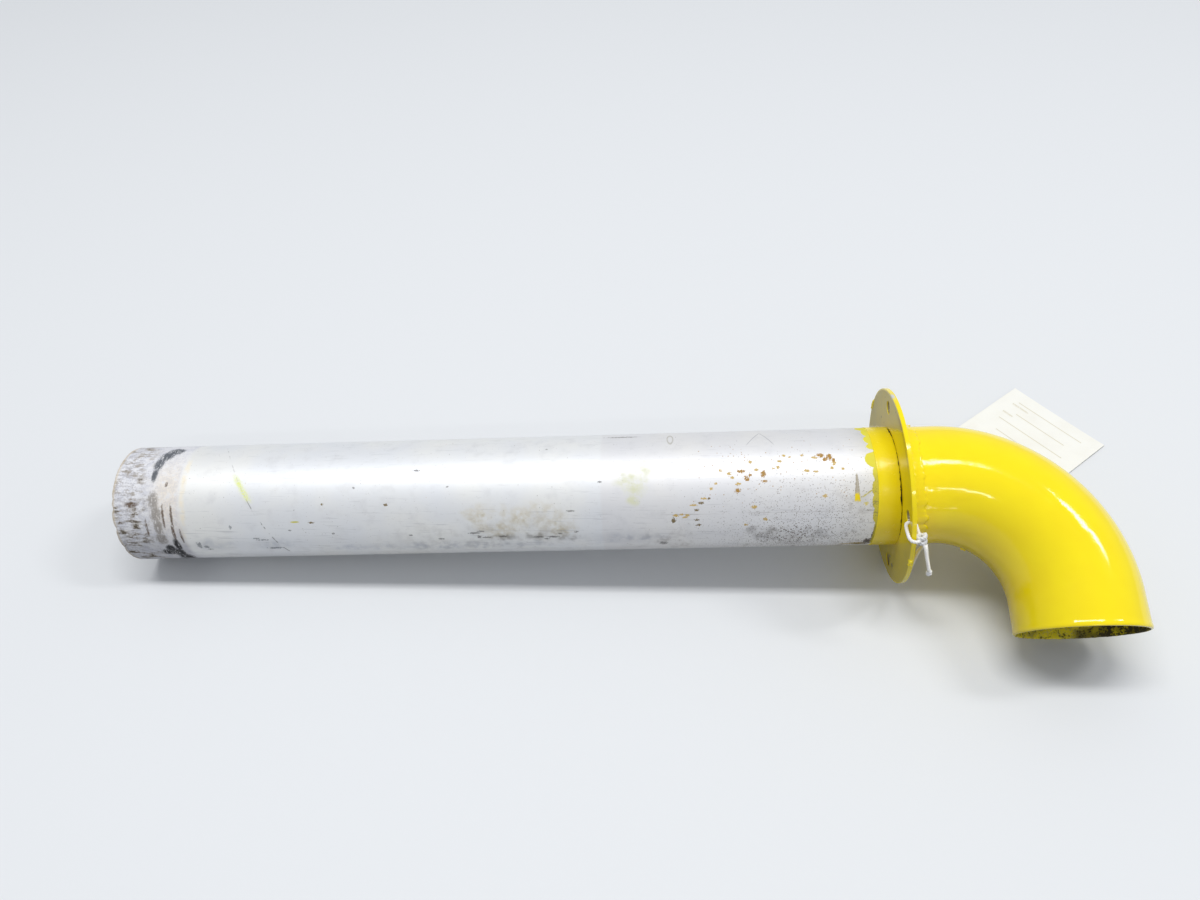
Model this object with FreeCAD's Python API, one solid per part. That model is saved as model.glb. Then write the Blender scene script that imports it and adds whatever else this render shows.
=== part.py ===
import FreeCAD
import Part
import math
import os

from FreeCAD import Matrix, Placement, Rotation, Vector

# Aircraft vent elbow: a long straight tube, a round mounting flange, a tight painted
# elbow welded to the flange, and a card tag tied to one of the flange's holes.
#
# Each metal piece is drawn in the duct's own frame: +X runs along the straight tube
# towards the elbow, and the origin is on its axis just before the flange.
# The elbow turns from +X towards -Y. The finished part is then laid on Z = 0 as such a
# tube comes to rest: on the tube's free end, the flange's rim and the lip of the mouth.
# All lengths are millimetres and all angles are degrees.

# Straight tube
TUBE_DIAMETER = 57.15
TUBE_WALL = 0.89
TUBE_LENGTH = 376.0  # free end to the origin
NICK_WIDTH = 3.2
END_NICKS = ((22, 0.5), (105, 0.45), (115, 0.7), (135, 0.8), (159, 0.6), (231, 0.5), (312, 0.6))

# Elbow, a mandrel bend of one tube diameter with a short straight at each end
ELBOW_DIAMETER = TUBE_DIAMETER
ELBOW_WALL = 1.24
ELBOW_ENTRY = 21.6  # origin to the start of the bend
BEND_RADIUS = 57.15
BEND_ANGLE = 90.0
ELBOW_EXIT = 16.0  # end of the bend to the middle of the mouth
MOUTH_TRIM = 5.0  # the mouth is cut this far out of square, shortest at the lower lip

# Mounting flange, which was welded a little out of square to the duct
FLANGE_DIAMETER = 95.25
FLANGE_THICKNESS = 2.03
FLANGE_FACE = 1.13  # origin to its tube-side face, on the axis
FLANGE_LEAN = 3.0
FLANGE_LEAN_SIDE = 59.0  # where its rim leans back along the tube, from +Y towards +Z
FLANGE_EDGE_RADIUS = 0.3
FLANGE_BORE_CLEARANCE = 0.1
BOLT_CIRCLE = 79.4
BOLT_HOLE = 6.6
BOLT_COUNT = 4
BOLT_START = 41.0  # angle of the first hole from +Y towards +Z
JOINT_DEPTH = FLANGE_FACE + FLANGE_THICKNESS / 2  # where tube and elbow meet inside the flange

# Weld bead between the flange's outer face and the elbow
WELD_ALONG_ELBOW = 4.6
WELD_UP_FLANGE = 4.0
WELD_CROWN = 0.45  # how far the bead stands out past its chord

# Card tag, which lies on the floor behind the elbow with its eyelet end under it
TAG_WIDTH = 60.3
TAG_LENGTH = 120.65
TAG_THICKNESS = 0.4
TAG_CORNER = 14.0
TAG_HOLE = 5.2
TAG_HOLE_INSET = 11.0
PATCH_DIAMETER = 17.5
PATCH_THICKNESS = 0.3
STRING_DIAMETER = 1.3
TAG_LIFT = STRING_DIAMETER + 0.25  # the string runs under the eyelet end
TAG_TURN = 218.5  # direction from the tag's plain end to its eyelet end, from +X
TAG_EYELET_END = (34.4, 20.1)  # middle of that end, from the flange's foot

# String knots
KNOT_RADIUS = 2.3
KNOT_LOBE = 1.15
KNOT_PLACE = (5.1, -44.5, 61.4)
KNOT_AXIS = (0.15, -0.35, -1.0)
END_KNOT_SCALE = 0.52
END_KNOT_PLACE = (9.8, -51.9, 47.8)
ROUTE_BEND_SHARE = 0.45

# The string's two routes at rest, from the flange's foot: the point of the floor under
# the duct's origin. Both leave the same flange hole. The long
# one goes down to the tag, through its eyelet and back to the knot. The short one goes
# round the rim to the knot.
STRING_ROUTE = [
    (0.6, -37.3, 66.25),
    (2.7, -37.3, 66.25),
    (3.3, -40.6, 64.6),
    (4.4, -43.6, 61.6),
    (4.9, -42.0, 57.0),
    (5.9, -37.8, 49.5),
    (7.0, -35.2, 39.0),
    (8.1, -32.8, 28.5),
    (9.6, -28.6, 17.5),
    (12.6, -22.4, 8.2),
    (17.0, -14.2, 2.2),
    (22.6, -4.6, 0.8),
    (27.2, 5.4, 0.7),
    (32.8, 15.8, 0.7),
    (38.2, 22.6, 0.7),
    (42.6, 26.5, 0.7),
    (42.3, 26.6, 5.4),
    (37.8, 21.4, 5.2),
    (33.6, 15.4, 3.4),
    (29.8, 7.4, 1.5),
    (26.0, -1.6, 0.8),
    (22.2, -11.0, 2.0),
    (17.8, -19.6, 6.6),
    (13.6, -27.2, 15.0),
    (10.6, -33.0, 26.0),
    (8.9, -36.6, 37.5),
    (7.6, -39.6, 48.0),
    (6.9, -42.9, 55.2),
    (6.6, -44.2, 59.2),
    (6.6, -45.7, 60.7),
    (6.9, -47.2, 58.8),
    (7.5, -48.2, 56.0),
    (8.5, -49.9, 52.6),
    (9.7, -51.6, 48.4),
]
END_ROUTE = [
    (0.6, -37.3, 66.25),
    (-1.4, -37.3, 66.25),
    (-1.5, -42.4, 65.4),
    (-1.3, -46.4, 64.6),
    (1.2, -47.4, 64.0),
    (3.4, -46.5, 63.2),
    (4.4, -46.3, 61.2),
    (4.6, -47.5, 57.8),
    (6.1, -50.3, 53.4),
    (7.6, -52.2, 49.6),
]


def bisect(function, low, high):
    """Return where a function that crosses zero once between low and high does so."""
    rising = function(high) > function(low)
    for _ in range(80):
        middle = (low + high) / 2
        if (function(middle) > 0) == rising:
            high = middle
        else:
            low = middle
    return (low + high) / 2


def around(radius, angle, x=0.0):
    """Point of the duct frame at a radius from the tube's axis, by its angle from +Y to +Z."""
    turn = math.radians(angle)
    return Vector(x, radius * math.cos(turn), radius * math.sin(turn))


def pipe_section(diameter, wall, x):
    """Ring-shaped face of a pipe, square to the tube's axis at x."""
    middle = Vector(x, 0, 0)
    along = Vector(1, 0, 0)
    outer = Part.Face(Part.Wire(Part.makeCircle(diameter / 2, middle, along)))
    inner = Part.Face(Part.Wire(Part.makeCircle(diameter / 2 - wall, middle, along)))
    return outer.cut(inner).Faces[0]


def bend_direction():
    """Direction in which the duct leaves the elbow."""
    turn = math.radians(BEND_ANGLE)
    return Vector(math.cos(turn), -math.sin(turn), 0)


def mouth_centre():
    """Centre of the elbow's mouth."""
    turn = math.radians(BEND_ANGLE)
    bend_end = Vector(ELBOW_ENTRY + BEND_RADIUS * math.sin(turn), -BEND_RADIUS * (1 - math.cos(turn)), 0)
    return bend_end + bend_direction() * ELBOW_EXIT


def make_tube():
    """Straight tube from its nicked free end to the joint inside the flange."""
    length = TUBE_LENGTH + JOINT_DEPTH
    tube = pipe_section(TUBE_DIAMETER, TUBE_WALL, -TUBE_LENGTH).extrude(Vector(length, 0, 0))
    middle_radius = (TUBE_DIAMETER - TUBE_WALL) / 2
    for angle, depth in END_NICKS:
        radius = (depth ** 2 + (NICK_WIDTH / 2) ** 2) / (2 * depth)
        start = around(middle_radius - TUBE_WALL, angle, -TUBE_LENGTH + depth - radius)
        tool = Part.makeCylinder(radius, 2 * TUBE_WALL, start, around(1.0, angle))
        tube = tube.cut(tool)
    return tube


def make_elbow():
    """Entry straight, bend and trimmed exit straight as one pipe."""
    section = pipe_section(ELBOW_DIAMETER, ELBOW_WALL, JOINT_DEPTH)
    entry = section.extrude(Vector(ELBOW_ENTRY - JOINT_DEPTH, 0, 0))
    bend_start = pipe_section(ELBOW_DIAMETER, ELBOW_WALL, ELBOW_ENTRY)
    centre = Vector(ELBOW_ENTRY, -BEND_RADIUS, 0)
    bend = bend_start.revolve(centre, Vector(0, 0, -1), BEND_ANGLE)
    bend_end = pipe_section(ELBOW_DIAMETER, ELBOW_WALL, ELBOW_ENTRY)
    bend_end.rotate(centre, Vector(0, 0, -1), BEND_ANGLE)
    spare = ELBOW_DIAMETER * math.tan(math.radians(MOUTH_TRIM))
    exit_straight = bend_end.extrude(bend_direction() * (ELBOW_EXIT + spare))
    elbow = entry.fuse([bend, exit_straight]).removeSplitter()
    trim = Part.makeBox(2 * ELBOW_DIAMETER, 2 * ELBOW_DIAMETER, 2 * spare)
    trim.translate(Vector(-ELBOW_DIAMETER, -ELBOW_DIAMETER, 0))
    slant = math.radians(MOUTH_TRIM)
    facing = bend_direction() * math.cos(slant) - Vector(0, 0, math.sin(slant))
    trim.Placement = Placement(mouth_centre(), Rotation(Vector(0, 0, 1), facing)).multiply(trim.Placement)
    return elbow.cut(trim)


def flange_axis():
    """Direction of the flange's own axis, which leans away from the duct's."""
    lean = math.radians(FLANGE_LEAN)
    return Vector(math.cos(lean), 0, 0) + around(math.sin(lean), FLANGE_LEAN_SIDE)


def make_flange():
    """Round plate with eased edges, a bore for the duct and a circle of bolt holes."""
    axis = flange_axis()
    middle = Vector(FLANGE_FACE, 0, 0)
    plate = Part.makeCylinder(FLANGE_DIAMETER / 2, FLANGE_THICKNESS, middle, axis)
    plate = plate.makeFillet(FLANGE_EDGE_RADIUS, [edge for edge in plate.Edges if edge.Closed])
    spare = ELBOW_DIAMETER * math.tan(math.radians(FLANGE_LEAN))
    bore_start = Vector(FLANGE_FACE - spare, 0, 0)
    bore_length = FLANGE_THICKNESS + 2 * spare
    bore = Part.makeCylinder(ELBOW_DIAMETER / 2 + FLANGE_BORE_CLEARANCE, bore_length, bore_start, Vector(1, 0, 0))
    flange = plate.cut(bore)
    leaned = Rotation(Vector(1, 0, 0), axis)
    for index in range(BOLT_COUNT):
        angle = BOLT_START + index * 360 / BOLT_COUNT
        place = middle + leaned.multVec(around(BOLT_CIRCLE / 2, angle))
        flange = flange.cut(Part.makeCylinder(BOLT_HOLE / 2, FLANGE_THICKNESS, place, axis))
    return flange


def make_weld():
    """Ring of weld with a crowned face, seated on the leaning flange and on the elbow."""
    seat = ELBOW_DIAMETER / 2
    slope = math.tan(math.radians(FLANGE_LEAN))
    back = FLANGE_FACE + FLANGE_THICKNESS / math.cos(math.radians(FLANGE_LEAN))
    foot = Vector(back, seat, 0)
    on_flange = Vector(back, seat + WELD_UP_FLANGE, 0)
    on_elbow = Vector(back + WELD_ALONG_ELBOW, seat, 0)
    chord = on_elbow - on_flange
    outwards = Vector(-chord.y, chord.x, 0).normalize()
    crown = (on_flange + on_elbow) * 0.5 + outwards * WELD_CROWN
    edges = [
        Part.LineSegment(foot, on_flange).toShape(),
        Part.Arc(on_flange, crown, on_elbow).toShape(),
        Part.LineSegment(on_elbow, foot).toShape(),
    ]
    ring = Part.Face(Part.Wire(edges)).revolve(Vector(0, 0, 0), Vector(1, 0, 0), 360)
    follow_flange = Matrix()
    follow_flange.A12 = -around(slope, FLANGE_LEAN_SIDE).y
    follow_flange.A13 = -around(slope, FLANGE_LEAN_SIDE).z
    return ring.transformGeometry(follow_flange)


def up_direction(pitch, roll):
    """Upright direction of the floor in the duct's frame, by the two angles in radians."""
    return Vector(math.sin(pitch), math.cos(pitch) * math.sin(roll), math.cos(pitch) * math.cos(roll))


def end_depth(up):
    """How far the tube's free end reaches below the origin."""
    return TUBE_DIAMETER / 2 * math.hypot(up.y, up.z) + TUBE_LENGTH * up.x


def rim_depth(up):
    """How far the flange's rim reaches below the origin."""
    along = up.dot(flange_axis())
    rim = (FLANGE_DIAMETER / 2 - FLANGE_EDGE_RADIUS) * math.sqrt(1 - along ** 2) + FLANGE_EDGE_RADIUS
    edges = (FLANGE_EDGE_RADIUS, FLANGE_THICKNESS - FLANGE_EDGE_RADIUS)
    return rim - FLANGE_FACE * up.x - min(along * edge for edge in edges)


def lip_depth(up):
    """How far the lip of the elbow's mouth reaches below the origin."""
    outwards = bend_direction()
    across = Vector(-outwards.y, outwards.x, 0)
    slope = math.tan(math.radians(MOUTH_TRIM))
    reach = math.hypot(up.dot(across), up.z + slope * up.dot(outwards))
    return ELBOW_DIAMETER / 2 * reach - up.dot(mouth_centre())


def resting_turn():
    """Pitch and roll that bring the end, the rim and the lip of the mouth to one floor.

    The pitch lowers the free end of the tube. The roll lowers the elbow towards -Y.
    """

    def resting_pitch(roll):
        def gap(pitch):
            up = up_direction(pitch, roll)
            return end_depth(up) - rim_depth(up)

        return bisect(gap, 0, math.radians(45))

    def lip_gap(roll):
        up = up_direction(resting_pitch(roll), roll)
        return lip_depth(up) - rim_depth(up)

    roll = bisect(lip_gap, 0, math.radians(80))
    pitch = resting_pitch(roll)
    return math.degrees(pitch), math.degrees(roll), rim_depth(up_direction(pitch, roll))


def knot_body(place, axis, scale):
    """Closed body of a small pulled-tight knot: two round turns side by side."""
    lobe = KNOT_LOBE * scale
    radius = KNOT_RADIUS * scale
    neck = radius - 0.35 * lobe
    edges = [
        Part.LineSegment(Vector(0, 0, -2 * lobe), Vector(radius - lobe, 0, -2 * lobe)).toShape(),
        Part.Arc(Vector(radius - lobe, 0, -2 * lobe), Vector(radius, 0, -lobe), Vector(neck, 0, 0)).toShape(),
        Part.Arc(Vector(neck, 0, 0), Vector(radius, 0, lobe), Vector(radius - lobe, 0, 2 * lobe)).toShape(),
        Part.LineSegment(Vector(radius - lobe, 0, 2 * lobe), Vector(0, 0, 2 * lobe)).toShape(),
        Part.LineSegment(Vector(0, 0, 2 * lobe), Vector(0, 0, -2 * lobe)).toShape(),
    ]
    body = Part.Face(Part.Wire(edges)).revolve(Vector(0, 0, 0), Vector(0, 0, 1), 360)
    body.Placement = Placement(Vector(*place), Rotation(Vector(0, 0, 1), Vector(*axis)))
    return body


def string_tube(route):
    """Tube of the string along straight runs joined by tangent arcs, one arc at each point."""
    points = [Vector(*point) for point in route]
    edges = []
    radii = []
    length = 0.0
    start = points[0]
    for before, corner, after in zip(points, points[1:], points[2:]):
        arriving = (corner - before).normalize()
        leaving = (after - corner).normalize()
        half_turn = arriving.getAngle(leaving) / 2
        setback = ROUTE_BEND_SHARE * min(corner.distanceToPoint(before), corner.distanceToPoint(after))
        radius = setback / math.tan(half_turn)
        arc_start = corner - arriving * setback
        arc_end = corner + leaving * setback
        towards_centre = (leaving - arriving).normalize()
        arc_middle = corner + towards_centre * (radius / math.cos(half_turn) - radius)
        edges.append(Part.LineSegment(start, arc_start).toShape())
        edges.append(Part.Arc(arc_start, arc_middle, arc_end).toShape())
        length += start.distanceToPoint(arc_start) + 2 * radius * half_turn
        radii.append(round(radius, 1))
        start = arc_end
    edges.append(Part.LineSegment(start, points[-1]).toShape())
    length += start.distanceToPoint(points[-1])
    path = Part.Wire(edges)
    section = Part.Wire(Part.makeCircle(STRING_DIAMETER / 2, points[0], points[1] - points[0]))
    tube = path.makePipeShell([section], True, False)
    expected = math.pi * (STRING_DIAMETER / 2) ** 2 * length
    print("string length", round(length, 1), "volume share", round(tube.Volume / expected, 4), "radii", radii)
    return tube


def tag_placement():
    """Frame of the tag's card: X to the eyelet end, Z up, origin at the plain end's middle."""
    slope = math.degrees(math.asin(TAG_LIFT / TAG_LENGTH))
    turn = math.radians(TAG_TURN)
    flat_length = TAG_LENGTH * math.cos(math.radians(slope))
    start = Vector(
        TAG_EYELET_END[0] - flat_length * math.cos(turn),
        TAG_EYELET_END[1] - flat_length * math.sin(turn),
        0,
    )
    return Placement(start, Rotation(Vector(0, 0, 1), TAG_TURN).multiply(Rotation(Vector(0, 1, 0), -slope)))


def make_tag():
    """Card with clipped corners at its eyelet end, where the string passes through."""
    half = TAG_WIDTH / 2
    clip = TAG_LENGTH - TAG_CORNER
    outline = [(0, -half), (clip, -half), (TAG_LENGTH, TAG_CORNER - half),
               (TAG_LENGTH, half - TAG_CORNER), (clip, half), (0, half)]
    corners = [Vector(x, y, 0) for x, y in outline]
    card = Part.Face(Part.makePolygon(corners + corners[:1])).extrude(Vector(0, 0, TAG_THICKNESS))
    hole_place = Vector(TAG_LENGTH - TAG_HOLE_INSET, 0, 0)
    card = card.cut(Part.makeCylinder(TAG_HOLE / 2, TAG_THICKNESS, hole_place))
    card.Placement = tag_placement()
    return card


def make_patch():
    """Round reinforcing patch glued on the card round its hole."""
    place = Vector(TAG_LENGTH - TAG_HOLE_INSET, 0, TAG_THICKNESS)
    patch = Part.makeCylinder(PATCH_DIAMETER / 2, PATCH_THICKNESS, place)
    patch = patch.cut(Part.makeCylinder(TAG_HOLE / 2, PATCH_THICKNESS, place))
    patch.Placement = tag_placement()
    return patch


def main():
    """Build every piece, lay the part at rest and write one file for each piece."""
    pitch, roll, axis_height = resting_turn()
    lie = Rotation(Vector(0, 1, 0), -pitch).multiply(Rotation(Vector(1, 0, 0), roll))
    at_rest = Placement(Vector(0, 0, axis_height), lie)
    metal = {
        "vent_tube": make_tube(),
        "elbow": make_elbow(),
        "mounting_flange": make_flange(),
        "flange_weld": make_weld(),
    }
    for shape in metal.values():
        shape.Placement = at_rest.multiply(shape.Placement)
    knots = [
        knot_body(KNOT_PLACE, KNOT_AXIS, 1.0),
        knot_body(END_KNOT_PLACE, KNOT_AXIS, END_KNOT_SCALE),
    ]
    tied = {
        "tag_string": string_tube(STRING_ROUTE).cut(knots),
        "string_end": string_tube(END_ROUTE).cut(knots),
        "string_knots": Part.makeCompound(knots),
        "parts_tag": make_tag(),
        "tag_patch": make_patch(),
    }
    box = Part.makeCompound(list(metal.values())).optimalBoundingBox(False)
    origin = Vector((box.XMin + box.XMax) / 2, (box.YMin + box.YMax) / 2, box.ZMin)
    print("pitch", round(pitch, 5), "roll", round(roll, 5), "axis height", round(axis_height, 4))
    print("flange foot in the finished frame", [round(-value, 4) for value in origin])
    print("size", round(box.XLength, 2), round(box.YLength, 2), round(box.ZLength, 2))
    os.makedirs("parts", exist_ok=True)
    for name, shape in {**metal, **tied}.items():
        shape.translate(-origin)
        shape.exportStep("parts/" + name + ".step")


main()
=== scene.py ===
"""Finishes, string and card of the aircraft vent elbow, built round its fixed solids."""

import logging
import math
from dataclasses import dataclass, field
from enum import Enum
from typing import Callable, Iterable, Sequence, Union

import bmesh
import bpy
from bpy.types import ID, Material, Mesh, Node, NodeSocket, NodeTree, Object
from mathutils import Euler, Matrix, Vector, noise


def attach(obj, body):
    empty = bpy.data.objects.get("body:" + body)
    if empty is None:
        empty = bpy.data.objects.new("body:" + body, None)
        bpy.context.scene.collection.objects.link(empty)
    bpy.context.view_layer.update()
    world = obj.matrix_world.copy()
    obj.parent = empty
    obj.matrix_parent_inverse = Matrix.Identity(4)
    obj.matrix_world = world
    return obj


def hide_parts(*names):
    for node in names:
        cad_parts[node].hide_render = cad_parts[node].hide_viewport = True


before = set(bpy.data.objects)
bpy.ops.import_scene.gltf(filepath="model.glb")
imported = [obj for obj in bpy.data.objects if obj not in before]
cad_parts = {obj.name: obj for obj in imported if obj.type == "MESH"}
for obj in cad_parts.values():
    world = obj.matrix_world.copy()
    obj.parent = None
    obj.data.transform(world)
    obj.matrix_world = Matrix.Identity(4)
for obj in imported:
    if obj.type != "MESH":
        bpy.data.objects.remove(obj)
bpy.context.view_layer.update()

LOG = logging.getLogger("vent_elbow")
MM = 0.001
SEED = 41

# Blender's Mix node keeps its colour sockets at these places.
MIX_FACTOR = 0
MIX_COLOUR_LOW = 6
MIX_COLOUR_HIGH = 7
MIX_COLOUR_OUT = 2
NOISE_ROUGHNESS = 0.55

Colour = tuple[float, float, float]
Paint = Union[Colour, NodeSocket]
Value = Union["Signal", float]


def srgb(red: float, green: float, blue: float) -> Colour:
    """Linear colour of a display colour.

    Args:
        red: Red from 0 to 255.
        green: Green from 0 to 255.
        blue: Blue from 0 to 255.

    Returns:
        The three linear parts, each from 0 to 1.
    """
    parts = (value / 255 for value in (red, green, blue))
    return tuple(v / 12.92 if v <= 0.04045 else ((v + 0.055) / 1.055) ** 2.4 for v in parts)


def smooth_step(value: float, low: float, high: float) -> float:
    """Ease from 0 at low to 1 at high."""
    share = min(1.0, max(0.0, (value - low) / (high - low)))
    return share * share * (3 - 2 * share)


def bell(value: float, width: float) -> float:
    """Bell curve of height 1 round 0."""
    return math.exp(-((value / width) ** 2))


def wobble(place: Vector, wavelength: float) -> float:
    """Smooth noise from -1 to 1 at a place, both in millimetres."""
    return noise.noise(place / wavelength)


def polar(x: float, radius: float, angle: float) -> Vector:
    """Point of the duct's frame: distance along the axis, radius and angle in degrees."""
    radians = math.radians(angle)
    return Vector((x, radius * math.cos(radians), radius * math.sin(radians)))


def whole_turn(count: int) -> list[float]:
    """Angles in degrees, evenly spaced round a circle."""
    return [360 * step / count for step in range(count)]


@dataclass(frozen=True)
class DuctFrame:
    """The duct's own frame: X along the tube to the elbow, origin just before the flange.

    Angles are measured round X from +Y towards +Z. Lengths are millimetres.
    """

    pitch: float = 2.85928
    roll: float = 20.2362
    origin: tuple[float, float, float] = (134.2372, 16.6123, 47.2955)

    def turn(self) -> Matrix:
        """Rotation from the duct's frame to the row's frame."""
        pitch = Matrix.Rotation(-math.radians(self.pitch), 3, "Y")
        roll = Matrix.Rotation(math.radians(self.roll), 3, "X")
        return pitch @ roll

    def place(self, point: Sequence[float]) -> Vector:
        """Place a point of the duct's frame in the row's frame, in metres."""
        return (self.turn() @ Vector(point) + Vector(self.origin)) * MM

    def around(self, x: float, radius: float, angle: float) -> Vector:
        """Place a point given by its distance along the axis, radius and angle in degrees."""
        return self.place(polar(x, radius, angle))


@dataclass(frozen=True)
class LeaningPlate:
    """Where the flange lies: it was welded a little out of square. Millimetres and degrees."""

    face: float = 1.13
    thickness: float = 2.03
    radius: float = 95.25 / 2
    lean: float = 3.0
    side: float = 59.0

    @property
    def slope(self) -> float:
        """Slope of the plate against a square one."""
        return math.tan(math.radians(self.lean))

    def near(self, radius: float, angle: float) -> float:
        """Distance along the duct of the tube-side face at a radius and an angle."""
        return self.face - self.slope * radius * math.cos(math.radians(angle - self.side))

    def turn(self) -> Matrix:
        """Rotation from the duct's axis to the plate's."""
        side = math.radians(self.side)
        hinge = Vector((0, -math.sin(side), math.cos(side)))
        return Matrix.Rotation(math.radians(self.lean), 3, hinge)


DUCT = DuctFrame()
PLATE = LeaningPlate()
FLANGE_FOOT = Vector((DUCT.origin[0], DUCT.origin[1], 0.0))


class Slot(Enum):
    """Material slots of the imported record."""

    BARE_METAL = "bare_metal"
    YELLOW_PAINT = "yellow_paint"
    COTTON = "cotton"
    CARD = "card"
    PATCH = "patch"


def operator(operation: str, swapped: bool = False) -> Callable[["Signal", Value], "Signal"]:
    """Make a method that adds a Math node.

    Args:
        operation: What the node does.
        swapped: Whether the other value comes first.

    Returns:
        The method.
    """

    def method(self: "Signal", other: Value) -> "Signal":
        return self.math(operation, *((other, self) if swapped else (self, other)))

    return method


class Signal:
    """A number that varies over a surface, used with ordinary arithmetic."""

    def __init__(self, shader: "Shader", socket: NodeSocket) -> None:
        """Wrap a socket of a shader's node tree.

        Args:
            shader: The shader that the socket belongs to.
            socket: An output socket that gives one number.
        """
        self.shader = shader
        self.socket = socket

    def math(self, operation: str, *values: Value) -> "Signal":
        """Add a Math node for one operation on some values."""
        return self.shader.number("ShaderNodeMath", dict(enumerate(values)), operation=operation)

    __add__ = __radd__ = operator("ADD")
    __sub__ = operator("SUBTRACT")
    __rsub__ = operator("SUBTRACT", swapped=True)
    __mul__ = __rmul__ = operator("MULTIPLY")
    __truediv__ = operator("DIVIDE")
    __rtruediv__ = operator("DIVIDE", swapped=True)
    __pow__ = operator("POWER")
    least = operator("MINIMUM")
    most = operator("MAXIMUM")
    arc = operator("ARCTAN2")

    def __abs__(self) -> "Signal":
        """Size without the sign."""
        return self.math("ABSOLUTE", self)

    def ease(self, low: float, high: float) -> "Signal":
        """Ease from 0 at low to 1 at high, also where high is the smaller."""
        inputs = {"Value": self, "From Min": low, "From Max": high}
        return self.shader.number("ShaderNodeMapRange", inputs, interpolation_type="SMOOTHSTEP")

    def bell(self, width: float) -> "Signal":
        """Bell curve round 0, which is 1 at 0 and fades out past the width."""
        return 1.0 / (1.0 + (self / width) ** 4)


class NodeMaker:
    """Adds nodes to one tree."""

    tree: NodeTree

    def node(self, kind: str, inputs: dict | None = None, **settings: object) -> Node:
        """Add a node.

        Args:
            kind: The node's type.
            inputs: Values, signals or links of its sockets, by name or place.
            settings: Its settings, which are set first.

        Returns:
            The new node.
        """
        made = self.tree.nodes.new(kind)
        for key, value in settings.items():
            setattr(made, key, value)
        for key, value in (inputs or {}).items():
            socket = made.inputs[key]
            if isinstance(value, Signal):
                value = value.socket
            if isinstance(value, NodeSocket):
                self.tree.links.new(value, socket)
            elif isinstance(value, tuple) and socket.type == "RGBA":
                socket.default_value = (*value, 1.0)
            else:
                socket.default_value = value
        return made


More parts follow.
